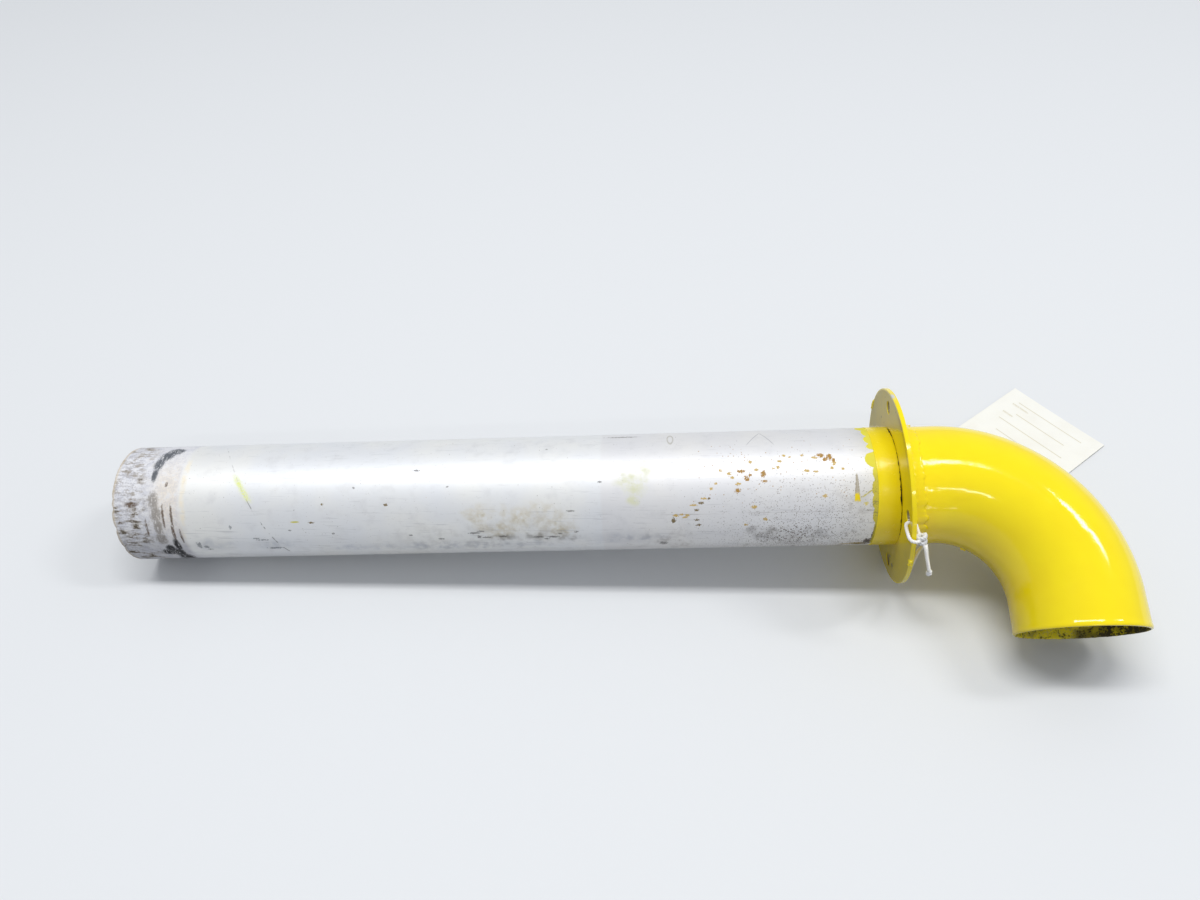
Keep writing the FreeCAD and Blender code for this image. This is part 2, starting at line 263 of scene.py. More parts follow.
class Shader(NodeMaker):
    """Builds the nodes of one material."""

    def __init__(self, name: str) -> None:
        """Start an empty material of this name."""
        self.material = bpy.data.materials.new(name)
        self.material.use_nodes = True
        self.tree = self.material.node_tree
        self.tree.nodes.clear()
        self.place = self.node("ShaderNodeTexCoord").outputs["Object"]

    def number(self, kind: str, inputs: dict, **settings: object) -> Signal:
        """Add a node whose first output is a number."""
        return Signal(self, self.node(kind, inputs, **settings).outputs[0])

    def noise(self, size: float, detail: float = 3.0, stretch: Sequence[float] = ()) -> Signal:
        """Cloudy noise from 0 to 1.

        Args:
            size: Size of its blotches, in millimetres.
            detail: How many finer layers it has.
            stretch: Factors on the three axes, above 1 for finer. Left out, it is not stretched.

        Returns:
            The noise.
        """
        source = self.place
        if stretch:
            source = self.node("ShaderNodeMapping", {"Vector": source, "Scale": stretch}).outputs[0]
        inputs = {"Vector": source, "Scale": 1 / (size * MM), "Detail": detail}
        return self.number("ShaderNodeTexNoise", {**inputs, "Roughness": NOISE_ROUGHNESS})

    def specks(self, spacing: float, share: Value, size: float) -> Signal:
        """Small round specks scattered over the surface.

        Args:
            spacing: Distance from speck to speck, in millimetres.
            share: Share of the places that hold a speck.
            size: Radius of a speck as a share of the spacing.

        Returns:
            1 on a speck and 0 elsewhere.
        """
        cells = self.node("ShaderNodeTexVoronoi", {"Vector": self.place, "Scale": 1 / (spacing * MM)})
        pick = self.number("ShaderNodeSeparateColor", {0: cells.outputs["Color"]})
        near = Signal(self, cells.outputs["Distance"]) - (pick - 0.5) * (0.5 * size)
        chosen = (share - pick).ease(-0.01, 0.01)
        return near.ease(size, 0.55 * size) * chosen

    def mix(self, share: Value, low: Paint, high: Paint) -> NodeSocket:
        """Mix two colours.

        Args:
            share: 0 for the first colour, 1 for the second.
            low: First colour.
            high: Second colour.

        Returns:
            The mixed colour's socket.
        """
        inputs = {MIX_FACTOR: share, MIX_COLOUR_LOW: low, MIX_COLOUR_HIGH: high}
        return self.node("ShaderNodeMix", inputs, data_type="RGBA").outputs[MIX_COLOUR_OUT]

    def bump(self, height: Signal, strength: float = 1.0) -> NodeSocket:
        """Turn a height in millimetres into a normal, of which a share shows."""
        inputs = {"Height": height, "Strength": strength, "Distance": MM}
        return self.node("ShaderNodeBump", inputs).outputs[0]

    def mapped(self, shift: Vector, turn: Matrix) -> tuple[Signal, Signal, Signal]:
        """Place in another frame.

        Args:
            shift: How far the row's points move after their turn, in millimetres.
            turn: How they turn.

        Returns:
            The place's three parts, in millimetres.
        """
        inputs = {
            "Vector": self.place,
            "Location": tuple(shift),
            "Rotation": tuple(turn.to_euler("XYZ")),
            "Scale": (1 / MM, 1 / MM, 1 / MM),
        }
        own = self.node("ShaderNodeMapping", inputs)
        parts = self.node("ShaderNodeSeparateXYZ", {0: own.outputs[0]})
        return tuple(Signal(self, output) for output in parts.outputs)

    def own_place(self) -> tuple[Signal, Signal, Signal]:
        """Place in the duct's own frame, in millimetres."""
        back = DUCT.turn().transposed()
        return self.mapped(-(back @ Vector(DUCT.origin)), back)

    def duct(self) -> tuple[Signal, Signal, Signal]:
        """Place on the duct: distance along its axis, angle in degrees from -90 to 270, radius."""
        x, y, z = self.own_place()
        angle = (0.0 - y).arc(z) * math.degrees(1) + 90.0
        return x, angle, (y * y + z * z) ** 0.5

    def before_plate(self, x: Signal, y: Signal, z: Signal) -> Signal:
        """Distance along the duct from the flange's tube-side face, below 0 on the tube's side."""
        side = math.radians(PLATE.side)
        across = y * (PLATE.slope * math.cos(side)) + z * (PLATE.slope * math.sin(side))
        return x - PLATE.face + across

    def finish(
        self,
        colour: Paint,
        roughness: Value,
        normal: NodeSocket | None = None,
        metallic: Value = 0.0,
        sheen: float = 0.0,
    ) -> Material:
        """Add the surface and the output.

        Args:
            colour: Base colour.
            roughness: Roughness.
            normal: Bumped normal, if any.
            metallic: 1 for bare metal.
            sheen: Weight of a fibre sheen.

        Returns:
            The finished material.
        """
        inputs = {"Base Color": colour, "Roughness": roughness, "Metallic": metallic, "Sheen Weight": sheen}
        if normal is not None:
            inputs["Normal"] = normal
        surface = self.node("ShaderNodeBsdfPrincipled", inputs)
        self.node("ShaderNodeOutputMaterial", {"Surface": surface.outputs[0]})
        return self.material


@dataclass
class Layers:
    """Colour built up layer by layer, and how far the layers hide the bare metal."""

    shader: Shader
    colour: Paint
    hidden: Value = 0.0

    def lay(self, mask: Value, colour: Paint, hides: float = 1.0) -> None:
        """Lay one more colour over the others.

        Args:
            mask: How strongly it shows, from 0 to 1.
            colour: The colour.
            hides: How much it takes from the metal's shine where it is full.
        """
        self.colour = self.shader.mix(mask, self.colour, colour)
        if hides:
            self.hidden = mask * hides + self.hidden


@dataclass(frozen=True)
class Marks:
    """Marks of one colour on the tube.

    Each spot is its distance along the tube, its angle, and how far it reaches along and round.
    """

    colour: Colour
    strength: float
    ragged: float
    spots: tuple[tuple[float, float, float, float], ...]


BLACK_RUBBER = srgb(34, 35, 37)
BROWN = srgb(92, 72, 52)
OLIVE = srgb(118, 98, 46)
RUST = srgb(170, 126, 34)
PALE_RUST = srgb(202, 168, 76)
LIME = srgb(232, 240, 140)
SLATE = srgb(96, 102, 112)
YELLOW = srgb(250, 222, 20)

SOFT_STAINS_AND_REFLECTION = (
    Marks(srgb(214, 216, 152), 0.62, 0.5, (
        (-122, 104, 8, 13), (-118, 88, 6, 10), (-123, 118, 3.5, 7), (-128, 100, 5, 9))),
    Marks(srgb(198, 182, 138), 0.72, 0.5, (
        (-172, 132, 17, 14), (-188, 146, 14, 12), (-160, 148, 10, 13), (-196, 128, 9, 10))),
    Marks(srgb(112, 104, 96), 0.55, 0.7, (
        (-167, 154, 13, 6), (-184, 156, 9, 5), (-157, 158, 7, 6), (-109, 169, 5, 8))),
    Marks(srgb(84, 74, 66), 0.45, 0.9, (
        (-51, 163, 9, 12), (-60, 157, 8, 9), (-39, 160, 8, 10), (-67, 153, 5, 6), (-47, 173, 12, 9))),
    Marks(srgb(246, 230, 194), 0.8, 0.2, (
        (-340.6, 84, 1.9, 28), (-341, 116, 1.8, 30), (-342.8, 140, 1.6, 22), (-345.2, 92, 1.3, 26))),
    # Painted reflection: bluish grey streaks of a blue floor along the tube's lower side.
    Marks(srgb(158, 168, 186), 0.40, 0.5, (
        (-215, 167, 60, 8), (-330, 160, 14, 11), (-300, 160, 12, 9), (-128, 160, 20, 12))),
)
RUBBER_SMEARS = (
    Marks(srgb(128, 120, 110), 0.75, 0.4, (
        (-355.2, 108, 2.8, 10), (-354.2, 121, 3, 11), (-353.8, 135, 2.4, 10), (-354, 148, 3, 8))),
    Marks(srgb(70, 76, 84), 0.92, 0.35, (
        (-351.3, 47, 4.6, 8), (-354, 56, 3.8, 9), (-355.8, 68, 2.6, 10), (-356, 81, 1.6, 9),
        (-352, 205, 3, 20), (-353, -40, 2.8, 22))),
    Marks(BROWN, 0.9, 0.5, (
        (-350.6, 124, 0.7, 13), (-346.4, 124, 0.7, 12), (-347, 141, 0.9, 10), (-359.6, 135, 0.6, 10),
        (-343.6, 146, 0.6, 9), (-349, 92, 0.8, 3), (-366.3, 111, 3.6, 3))),
    Marks(BLACK_RUBBER, 1.0, 0.25, (
        (-347.6, 157, 1.8, 10), (-349.3, 170, 3.6, 10), (-348.4, 183, 4, 12), (-354.2, 169, 4, 6),
        (-352, 162, 2.6, 6), (-350, 262, 3, 22))),
)
FINE_MARKS = (
    Marks(PALE_RUST, 0.9, 1.0, (
        (-38.4, 81, 1.3, 1.2), (-29.3, 87, 1, 2), (-30.4, 92, 0.7, 1.6), (-52.1, 78, 0.8, 1.1),
        (-49.5, 80, 0.8, 1.1), (-43.6, 78, 0.8, 1.1), (-54.4, 84, 1, 1.2), (-55.2, 90, 0.6, 1.8),
        (-57.4, 91, 0.6, 0.9), (-81.8, 92, 0.8, 1.1), (-67.9, 84, 0.7, 1.4), (-65.2, 92, 0.8, 1.2),
        (-78, 95, 0.9, 1.4), (-74, 105, 1.1, 1.2), (-42.5, 94, 1.3, 1.2), (-37.8, 95, 0.9, 1),
        (-34.3, 118, 1, 1.5), (-86.4, 109, 0.8, 1.2), (-97.7, 134, 1, 1.1), (-100.4, 133, 0.8, 1),
        (-94.7, 124, 1.6, 0.9), (-103.1, 134, 1.2, 1.2), (-66.9, 127, 1.2, 1.5), (-61.6, 140, 0.9, 1.6),
        (-70.4, 146, 0.9, 1.2), (-89.9, 118, 1.4, 1.1), (-84.2, 104, 0.7, 1), (-76.5, 99, 0.8, 1),
        (-25.6, 93, 0.6, 1.2), (-98.9, 136, 1.2, 0.8))),
    Marks(RUST, 0.95, 1.0, (
        (-31.3, 81, 1.2, 3.4), (-35.3, 79, 1.6, 2.4), (-33.4, 83, 1, 1.8), (-29.6, 84, 0.7, 2.2),
        (-72.3, 93, 1.8, 1.5), (-69.8, 100, 1.1, 2.6), (-62.1, 96, 1.1, 3), (-61.8, 103, 1.3, 1.1),
        (-74.2, 111, 1.3, 1.8), (-68.4, 97, 0.8, 1.2))),
    Marks(OLIVE, 0.92, 0.9, (
        (-91.1, 122, 1.3, 1), (-93.3, 129, 1.2, 1.2), (-104.2, 139, 1, 2.4), (-93.3, 139, 1.3, 1.1),
        (-92.5, 145, 1.2, 1.2), (-87.6, 118, 0.7, 0.9), (-277.8, 133, 1.4, 0.9), (-240.8, 117, 1.1, 1.1),
        (-271.7, 115, 0.8, 0.9))),
    Marks(srgb(80, 74, 70), 0.65, 1.0, (
        (-199.4, 149, 2.4, 1.1), (-196.2, 147, 1.6, 0.8), (-197.4, 154, 0.9, 1.8), (-193.4, 155, 2.4, 0.9),
        (-186, 154, 2, 0.8), (-161.6, 156, 2.4, 1.2), (-169, 156, 2.2, 1), (-165, 159, 1.2, 0.9),
        (-158, 152, 1, 0.8), (-150.4, 150, 0.9, 1), (-152.6, 127, 1.8, 0.9), (-138.4, 100, 0.9, 0.8),
        (-226.2, 84, 1.6, 0.8), (-256.2, 100, 0.7, 1), (-164, 62, 0.8, 0.8), (-216, 156, 1.2, 1),
        (-230.4, 150, 0.9, 0.8), (-109, 171, 1.6, 3), (-332.6, 165, 1.4, 0.9), (-128, 41.5, 7, 1.3),
        (-210.8, 101, 0.6, 0.6), (-289, 141, 0.7, 0.8), (-268, 146, 0.7, 0.9))),
    Marks(SLATE, 0.6, 1.0, (
        (-303.7, 152, 2.6, 0.9), (-299.3, 165, 3.4, 1.4), (-307, 150, 1.6, 0.7), (-336.8, 158, 1, 4.5),
        (-333.6, 161, 1.2, 2), (-318, 136, 0.6, 2))),
    Marks(srgb(208, 202, 84), 0.95, 0.2, (
        (-285.7, 132, 2.1, 0.9),)),
    Marks(srgb(206, 182, 112), 0.8, 0.5, (
        (-371.3, 138, 3.4, 1.2), (-367, 139, 1.2, 1.2))),
    Marks(srgb(62, 48, 36), 0.9, 1.0, (
        (-12, 176, 2.4, 6), (-10.6, 164, 0.9, 8), (-366.3, 138, 1.4, 1.6), (-15.5, 183, 4, 4))),
    Marks(srgb(186, 160, 70), 0.7, 0.8, (
        (-17, 182, 3.4, 2.4), (-22, 184, 2.4, 2))),
)
# Lobes of the paint that bled under the tape: angle, half width and depth.
BLEED_LOBES = (
    (34, 9, 5.6), (47, 9, 3.8), (60, 7, 3.9), (70, 5, 3.5), (84, 9, 5.1), (98, 8, 2.2), (112, 9, 2.9),
    (124, 9, 2.8), (138, 9, 2.2),
)


@dataclass
class TubeLayers(Layers):
    """The tube's layers, with where they lie on it and the noises that break them up."""

    def __post_init__(self) -> None:
        """Add the coordinates and the noises to the shader."""
        cloudy = self.shader.noise
        self.x, self.angle, _ = self.shader.duct()
        self.fine = cloudy(0.6)
        self.middle = cloudy(3.2, 4.0)
        self.cloud = cloudy(7.0, 4.0)
        self.broad = cloudy(38.0)
        self.along = cloudy(1.2, 4.0, (0.30, 1.0, 1.0))
        self.blotch = cloudy(4.2, 3.0, (0.7, 1.0, 1.0))
        self.hoops = cloudy(1.3, 3.0, (1.8, 0.35, 0.35))
        self.brushed = cloudy(0.9, 3.0, (0.05, 1.0, 1.0))

    def mark(self, marks: Marks, ragged: Signal, break_up: Value = 1.0, soft: float = 0.75) -> None:
        """Lay some marks.

        Args:
            marks: The marks.
            ragged: Noise that breaks their edges.
            break_up: Noise that leaves parts of them bare.
            soft: Where a mark reaches its full strength, below 1.3.
        """
        reach: Signal | None = None
        for along, turn, length, width in marks.spots:
            across, around = (self.x - along) / length, (self.angle - turn) / width
            spot = across * across + around * around
            reach = spot if reach is None else reach.least(spot)
        mask = (reach + (ragged - 0.5) * (7 * marks.ragged)).ease(1.3, soft) * marks.strength
        self.lay(mask * break_up, marks.colour)


@dataclass(frozen=True)
class BareTube:
    """Satin bare tube with a chalky clamped end, stains, rust specks, paint bleed and a painted bluish
    reflection along its lower side.
    """

    chalk: Colour = srgb(228, 228, 232)
    clamp_edge: float = -343.0
    tone_edge: float = -138.0
    ridge: float = -10.05

    def metal(self, on: TubeLayers) -> None:
        """Lay the open stretch's tone, soft stains with a painted bluish reflection along the lower side,
        dust and fine marks.
        """
        x, angle, middle = on.x, on.angle, on.middle
        on.lay(x.ease(self.tone_edge - 1.0, self.tone_edge + 1.0) * 0.35, srgb(228, 224, 224), 0)
        on.lay(on.cloud.ease(0.5, 0.75) * 0.30, srgb(212, 212, 214), 0)
        for soft_mark in SOFT_STAINS_AND_REFLECTION:
            on.mark(soft_mark, on.cloud, middle.ease(0.25, 0.62), -0.9)
        lower = angle.ease(96, 160) * angle.ease(222, 195)
        pitted = lower * x.ease(-120, -46) * x.ease(-6, -26)
        level = x.ease(-100, -40) * angle.ease(62, 112)
        cluster = (x + 50.0).bell(15.0) * (angle - 162.0).bell(15.0)
        dust = on.shader.specks(0.62, 0.04 + 0.22 * level + 0.40 * pitted, 0.42)
        on.lay(dust * (0.40 + 0.25 * level + 0.3 * pitted), srgb(104, 88, 70), 0.8)
        tanned = x.ease(-104, -84) * x.ease(-14, -26) * angle.ease(54, 70) * angle.ease(132, 112)
        tan = on.shader.specks(1.25, 0.16 * tanned, 0.34)
        on.lay(tan * 0.9, RUST)
        coarse = on.shader.specks(1.15, 0.02 + 0.30 * level + 0.26 * pitted + 0.5 * cluster, 0.36)
        on.lay(coarse * (0.50 + 0.4 * cluster), srgb(88, 70, 50))
        soiled = lower * (x.ease(-300, -200) * 0.25) + pitted * 0.9
        on.lay((middle * 0.5 + on.broad * 0.5).ease(0.50, 0.64) * soiled * 0.5, srgb(122, 112, 106))
        brushed = on.brushed.ease(0.60, 0.72) * (0.14 + 0.22 * lower)
        on.lay(brushed, srgb(158, 158, 164), 0)
        seam = (angle - 133.0 + (middle - 0.5) * 1.5).bell(0.35) * x.ease(-112, -100)
        on.lay(seam * on.brushed.ease(0.42, 0.55) * 0.5, srgb(120, 112, 108))
        for marks in FINE_MARKS:
            on.mark(marks, on.fine)

    def scratches(self, on: TubeLayers) -> None:
        """Lay the long curved scratch with its yellow smear, two fine curls and a dried drop."""
        x, angle = on.x, on.angle
        fine, middle = on.fine, on.middle
        run = x + 324.6 - (angle - 48.0) * 0.262 + (angle - 140.0).most(0.0) * 0.05
        gaps = middle.ease(0.48, 0.58) * angle.ease(40, 46) * angle.ease(176, 170)
        on.lay(run.bell(0.22) * gaps * (angle.ease(96, 124) * 0.5 + 0.28), srgb(84, 80, 76))
        smear = (x + 324.9 - (angle - 54.0) * 0.31).bell(1.3) * angle.ease(80, 92) * angle.ease(114, 106)
        on.lay(smear * fine.ease(0.34, 0.56) * 0.9, LIME)
        for start, drift in ((-66.8, 0.32), (-57.8, -0.26)):
            curl = (x - start + (angle - 57.0) * drift).bell(0.22) * angle.ease(40, 44) * angle.ease(66, 60)
            on.lay(curl * 0.4, SLATE)
        drop = ((x + 104.8) / 1.4) ** 2 + ((angle - 50.0) / 8.0) ** 2
        on.lay((drop - 1.0).bell(0.35) * 0.45, srgb(132, 126, 96))

    def clamped_end(self, on: TubeLayers) -> Signal:
        """Lay the chalky end where a hose was clamped, and give its mask."""
        x, angle = on.x, on.angle
        fine, middle = on.fine, on.middle
        clamp = (x + (middle - 0.5) * 1.6).ease(self.clamp_edge + 2.0, self.clamp_edge - 1.2)
        on.lay(clamp * 0.8, self.chalk)
        warm = (angle - 104.0).bell(34.0) * (x + 348.5).bell(6.5) * clamp
        on.lay(warm * middle.ease(0.25, 0.6) * 0.8, srgb(246, 234, 214), 0)
        on.lay((middle * 0.6 + fine * 0.4).ease(0.42, 0.6) * clamp * 0.4, srgb(184, 188, 204), 0)
        tip = (x + (middle - 0.5) * 6.0).ease(-355.0, -366.0)
        end = x.ease(-362.0, -369.0)
        strands = on.along * 0.62 + fine * 0.38
        on.lay(strands.ease(0.44, 0.56) * (tip * 0.35 + end * 0.2), srgb(166, 163, 166), 0)
        on.lay((strands * 0.4 + on.blotch * 0.6).ease(0.49, 0.57) * tip * 0.6, srgb(150, 138, 120), 0)
        patchy = strands * 0.5 + on.blotch * 0.5 + (angle.ease(84, 140) - 0.5) * 0.05
        on.lay(patchy.ease(0.565, 0.60) * tip * 0.92, srgb(84, 74, 56), 0)
        specks = on.shader.specks(0.8, 0.26 * x.ease(-344.0, -354.0), 0.34)
        on.lay(specks * 0.6, srgb(96, 84, 78), 0)
        streaked = (on.hoops * 0.6 + fine * 0.4).ease(0.36, 0.48)
        for marks in RUBBER_SMEARS:
            on.mark(marks, fine, streaked, 0.3)
        on.lay(x.ease(-374.0, -375.4) * 0.6, srgb(216, 200, 172), 0)
        return clamp

    def paint_edge(self, on: TubeLayers) -> Signal:
        """Lay the dried streak and the paint that bled under the masking tape, and give its mask."""
        x, angle = on.x, on.angle
        fine, middle = on.fine, on.middle
        down = ((angle - 98.0) / 24.0).most(0.0)
        half = 0.35 + down * 0.95
        inside = (abs(x + 19.6 + (fine - 0.5) * 1.2) / half).ease(1.1, 0.85) * angle.ease(97.0, 99.5)
        body = inside * (angle + (fine - 0.5) * 8.0).ease(124.5, 122.5)
        on.lay(body * (0.4 + fine * 0.7), srgb(172, 162, 140))
        outline = (abs(x + 19.6) / half - 0.9).bell(0.22) * body * fine.ease(0.35, 0.55)
        on.lay(outline * 0.75, srgb(128, 104, 56))
        on.lay(body * (angle + (fine - 0.5) * 12.0).ease(114.5, 118.5), YELLOW)
        reach: Signal = 0.5 + middle * 0.9
        for turn, width, depth in BLEED_LOBES:
            share = (angle - turn) / width
            reach = reach.most(((1.0 - share * share).most(0.0) ** 0.5) * depth)
        notch = (angle - 75.0).bell(1.6) * (x + 12.6).bell(1.6)
        bleed = (x - self.ridge + reach + (fine - 0.5) * 1.2 - notch * 4.0).ease(-0.14, 0.14)
        finger = (x + 12.4 + (angle - 113.0) * 0.72 + (fine - 0.5) * 1.6).bell(0.5)
        finger = finger * angle.ease(110, 112) * angle.ease(121, 119)
        bleed = bleed.most(finger * 0.9) * angle.ease(186, 178) * angle.ease(24, 32)
        film = on.shader.mix(angle.ease(92, 106), srgb(238, 228, 60), srgb(212, 200, 60))
        thin = (fine * 0.6 + middle * 0.4).ease(0.5, 0.6) * angle.ease(92, 118)
        film = on.shader.mix(thin * 0.8, film, srgb(150, 140, 72))
        fleck = (((x + 15.6) / 1.1) ** 2 + ((angle - 126.0) / 1.6) ** 2 + (fine - 0.5) * 6.0).ease(1.2, 0.6)
        on.lay(fleck * 0.75, srgb(226, 204, 40))
        on.lay(bleed * 0.97, film)
        return bleed

    def material(self) -> Material:
        """Build the material."""
        shader = Shader("bare_tube")
        on = TubeLayers(shader, srgb(236, 238, 241))
        on.lay(on.broad.ease(0.3, 0.7), srgb(243, 243, 240), 0)
        self.metal(on)
        self.scratches(on)
        clamp = self.clamped_end(on)
        bleed = self.paint_edge(on)
        joint = shader.before_plate(*shader.own_place()).ease(-2.6, -1.6)
        on.lay(joint, srgb(44, 28, 14))
        bare = 1.0 - on.hidden.least(1.0)
        roughness = 0.80 - bare * (0.33 - on.broad * 0.06 - on.fine * 0.06)
        height = on.fine * 0.008 + on.along * clamp * 0.14 + bleed * 0.05
        return shader.finish(on.colour, roughness, shader.bump(height, 0.9), bare * 0.36)


@dataclass(frozen=True)
class TubeInside:
    """Dull oxidised inside of the tube."""

    pale: Colour = srgb(150, 150, 150)
    dark: Colour = srgb(70, 66, 60)

    def material(self) -> Material:
        """Build the material."""
        shader = Shader("tube_inside")
        cloud = shader.noise(9.0, 5.0)
        fine = shader.noise(1.4)
        colour = shader.mix((cloud * 0.7 + fine * 0.3).ease(0.35, 0.65), self.dark, self.pale)
        normal = shader.bump(cloud * 0.2 + fine * 0.05, 0.8)
        return shader.finish(colour, 0.5 + cloud * 0.2, normal, 0.35)


@dataclass(frozen=True)
class YellowGloss:
    """Thick brushed gloss paint with faint sags, thin spots and specks of dirt."""

    paint: Colour = srgb(255, 232, 8)
    deep: Colour = srgb(250, 222, 8)
    dirt: Colour = srgb(150, 124, 30)
    roughness: float = 0.07
    dull_face: bool = False
    spots: tuple[tuple[float, float, float], ...] = (
        (16, 33.9, 0.7), (32, 43.5, 0.5), (61, 44.6, 0.5), (208, 40, 1.6), (214, 36, 1.2), (24, 31, 0.4),
    )

    def face(self, shader: Shader, colour: Paint) -> tuple[Paint, Signal]:
        """Stains, chips, specks and rim wear of the flange, with a painted khaki reflection and shade above
        the tube, painted shade below it and a painted dark reflection by the rim.

        Args:
            shader: The shader that it is for.
            colour: The clean paint's colour.

        Returns:
            The colour with its stains and its painted reflection and shade, and a mask of what is dull.
        """
        layers = Layers(shader, colour)
        own = shader.own_place()
        _, angle, radius = shader.duct()
        depth = shader.before_plate(*own)
        side = own[1] + own[2] * 0.48
        fine = shader.noise(1.1, 4.0)
        cloud = shader.noise(6.0, 4.0)
        on_face = depth.ease(0.20, 0.05)
        inner = radius.ease(47.2, 46.6) * on_face
        # Khaki on the face above the tube's line is a painted reflection of a dim backdrop and painted
        # shade on a face turned away from the lamps; it also makes that part duller.
        painted_khaki_reflection = inner * (side + (cloud - 0.5) * 3.0).ease(29.5, 32.5)
        layers.lay(painted_khaki_reflection * (0.75 + cloud * 0.3), srgb(196, 182, 112), 0)
        away = inner * radius.ease(32.0, 44.0) * side.ease(34.0, 28.0)
        layers.lay(away * 0.35, srgb(206, 176, 20), 0)
        # Painted shade: olive darkening of the face below the tube's line.
        lower = inner * (side + (cloud - 0.5) * 6.0).ease(-27.0, -33.0)
        layers.lay(lower * (0.1 + cloud * 0.5), srgb(190, 174, 34), 0)
        # Painted dark reflection in the eased edge beside the rim.
        band = inner * (radius - 45.6).bell(1.5) * angle.ease(60, 74) * angle.ease(108, 96)
        layers.lay(band * 0.6, srgb(160, 128, 34), 0)
        for turn, place, size in self.spots:
            near = ((angle - turn) * (place * math.pi / 180)) ** 2 + (radius - place) ** 2
            spot = (near ** 0.5 + (fine - 0.5) * 2.6 * size).ease(size, 0.5 * size) * on_face
            layers.lay(spot * 0.8, srgb(64, 52, 28), 0)
        dots = shader.specks(3.1, 0.12, 0.14) * on_face
        layers.lay(dots * 0.5, srgb(110, 92, 40), 0)
        corner = inner * radius.ease(29.5, 28.9) * (fine + cloud * 0.3).ease(0.50, 0.66)
        corner = corner * angle.ease(34, 44) * angle.ease(172, 160)
        layers.lay(corner * 0.9, srgb(58, 38, 18), 0)
        wall = abs(radius - 39.7).ease(4.2, 3.4) * depth.ease(0.25, 0.5) * depth.ease(1.9, 1.6)
        layers.lay(wall * 0.9, srgb(120, 112, 96), 0)
        chip = (angle - 49.0 + (fine - 0.5) * 3.0).bell(2.6) * radius.ease(46.2, 46.9)
        layers.lay(chip * depth.ease(1.6, 1.1) * 0.95, srgb(214, 216, 218), 0)
        rim = radius.ease(46.9, 47.3)
        worn = rim * (fine * 0.5 + cloud * 0.6).ease(0.62, 0.7)
        layers.lay(worn * 0.25, srgb(222, 196, 60), 0)
        return layers.colour, painted_khaki_reflection * 0.8 + lower * 0.3

    def material(self) -> Material:
        """Build the material."""
        shader = Shader("flange_paint" if self.dull_face else "elbow_paint")
        cloud = shader.noise(16.0, 2.0)
        sags = shader.noise(6.5, 2.0)
        peel = shader.noise(1.8, 2.0)
        colour = shader.mix(cloud.ease(0.25, 0.75) * 0.5, self.paint, self.deep)
        grit = shader.specks(4.2, 0.07, 0.07)
        colour = shader.mix(grit * 0.6, colour, self.dirt)
        dull: Value = 0.0
        if self.dull_face:
            colour, dull = self.face(shader, colour)
        height = sags * 0.05 + peel * 0.006 + grit * 0.04 + cloud * 0.12
        if not self.dull_face:
            height = height + shader.noise(2.6, 2.0) * shader.own_place()[0].ease(27.0, 10.0) * 0.12
        roughness = self.roughness + peel * 0.05 + dull * 0.45
        normal = shader.bump(height, 0.8)
        return shader.finish(colour, roughness, normal)


@dataclass(frozen=True)
class ElbowInside:
    """Mottled inside of the elbow: overspray, darker patches and bare patches, with painted shade that
    deepens towards the far side of the mouth.
    """

    overspray: Colour = srgb(250, 232, 24)
    soot_and_shade: Colour = srgb(58, 50, 14)
    bare: Colour = srgb(206, 194, 104)

    def material(self) -> Material:
        """Build the material."""
        shader = Shader("elbow_inside")
        cloud = shader.noise(3.2, 5.0)
        fine = shader.noise(0.9, 4.0)
        broad = shader.noise(13.0, 2.0)
        # Painted shade: the inside darkens towards the far side of the mouth.
        painted_far_shade = shader.own_place()[0].ease(84.0, 104.0) * 0.10
        mottle = cloud * 0.55 + fine * 0.45 - painted_far_shade
        colour = shader.mix(mottle.ease(0.37, 0.50), self.soot_and_shade, self.overspray)
        colour = shader.mix((fine * 0.7 + broad * 0.3 - painted_far_shade).ease(0.50, 0.60) * 0.85, colour, self.bare)
        colour = shader.mix((broad + painted_far_shade * 2.0).ease(0.52, 0.72) * 0.75, colour, self.soot_and_shade)
        normal = shader.bump(cloud * 0.35 + fine * 0.15, 0.9)
        return shader.finish(colour, 0.55 + fine * 0.2, normal)


@dataclass(frozen=True)
class Cotton:
    """White twisted cotton."""

    fibre: Colour = srgb(254, 253, 250)
    shade: Colour = srgb(240, 237, 230)

    def material(self) -> Material:
        """Build the material."""
        shader = Shader("cotton_string")
        fibre = shader.noise(0.28, 4.0)
        cloud = shader.noise(6.0, 2.0)
        colour = shader.mix((fibre * 0.6 + cloud * 0.4).ease(0.3, 0.7), self.shade, self.fibre)
        return shader.finish(colour, 0.9, shader.bump(fibre * 0.12, 0.8), sheen=0.3)


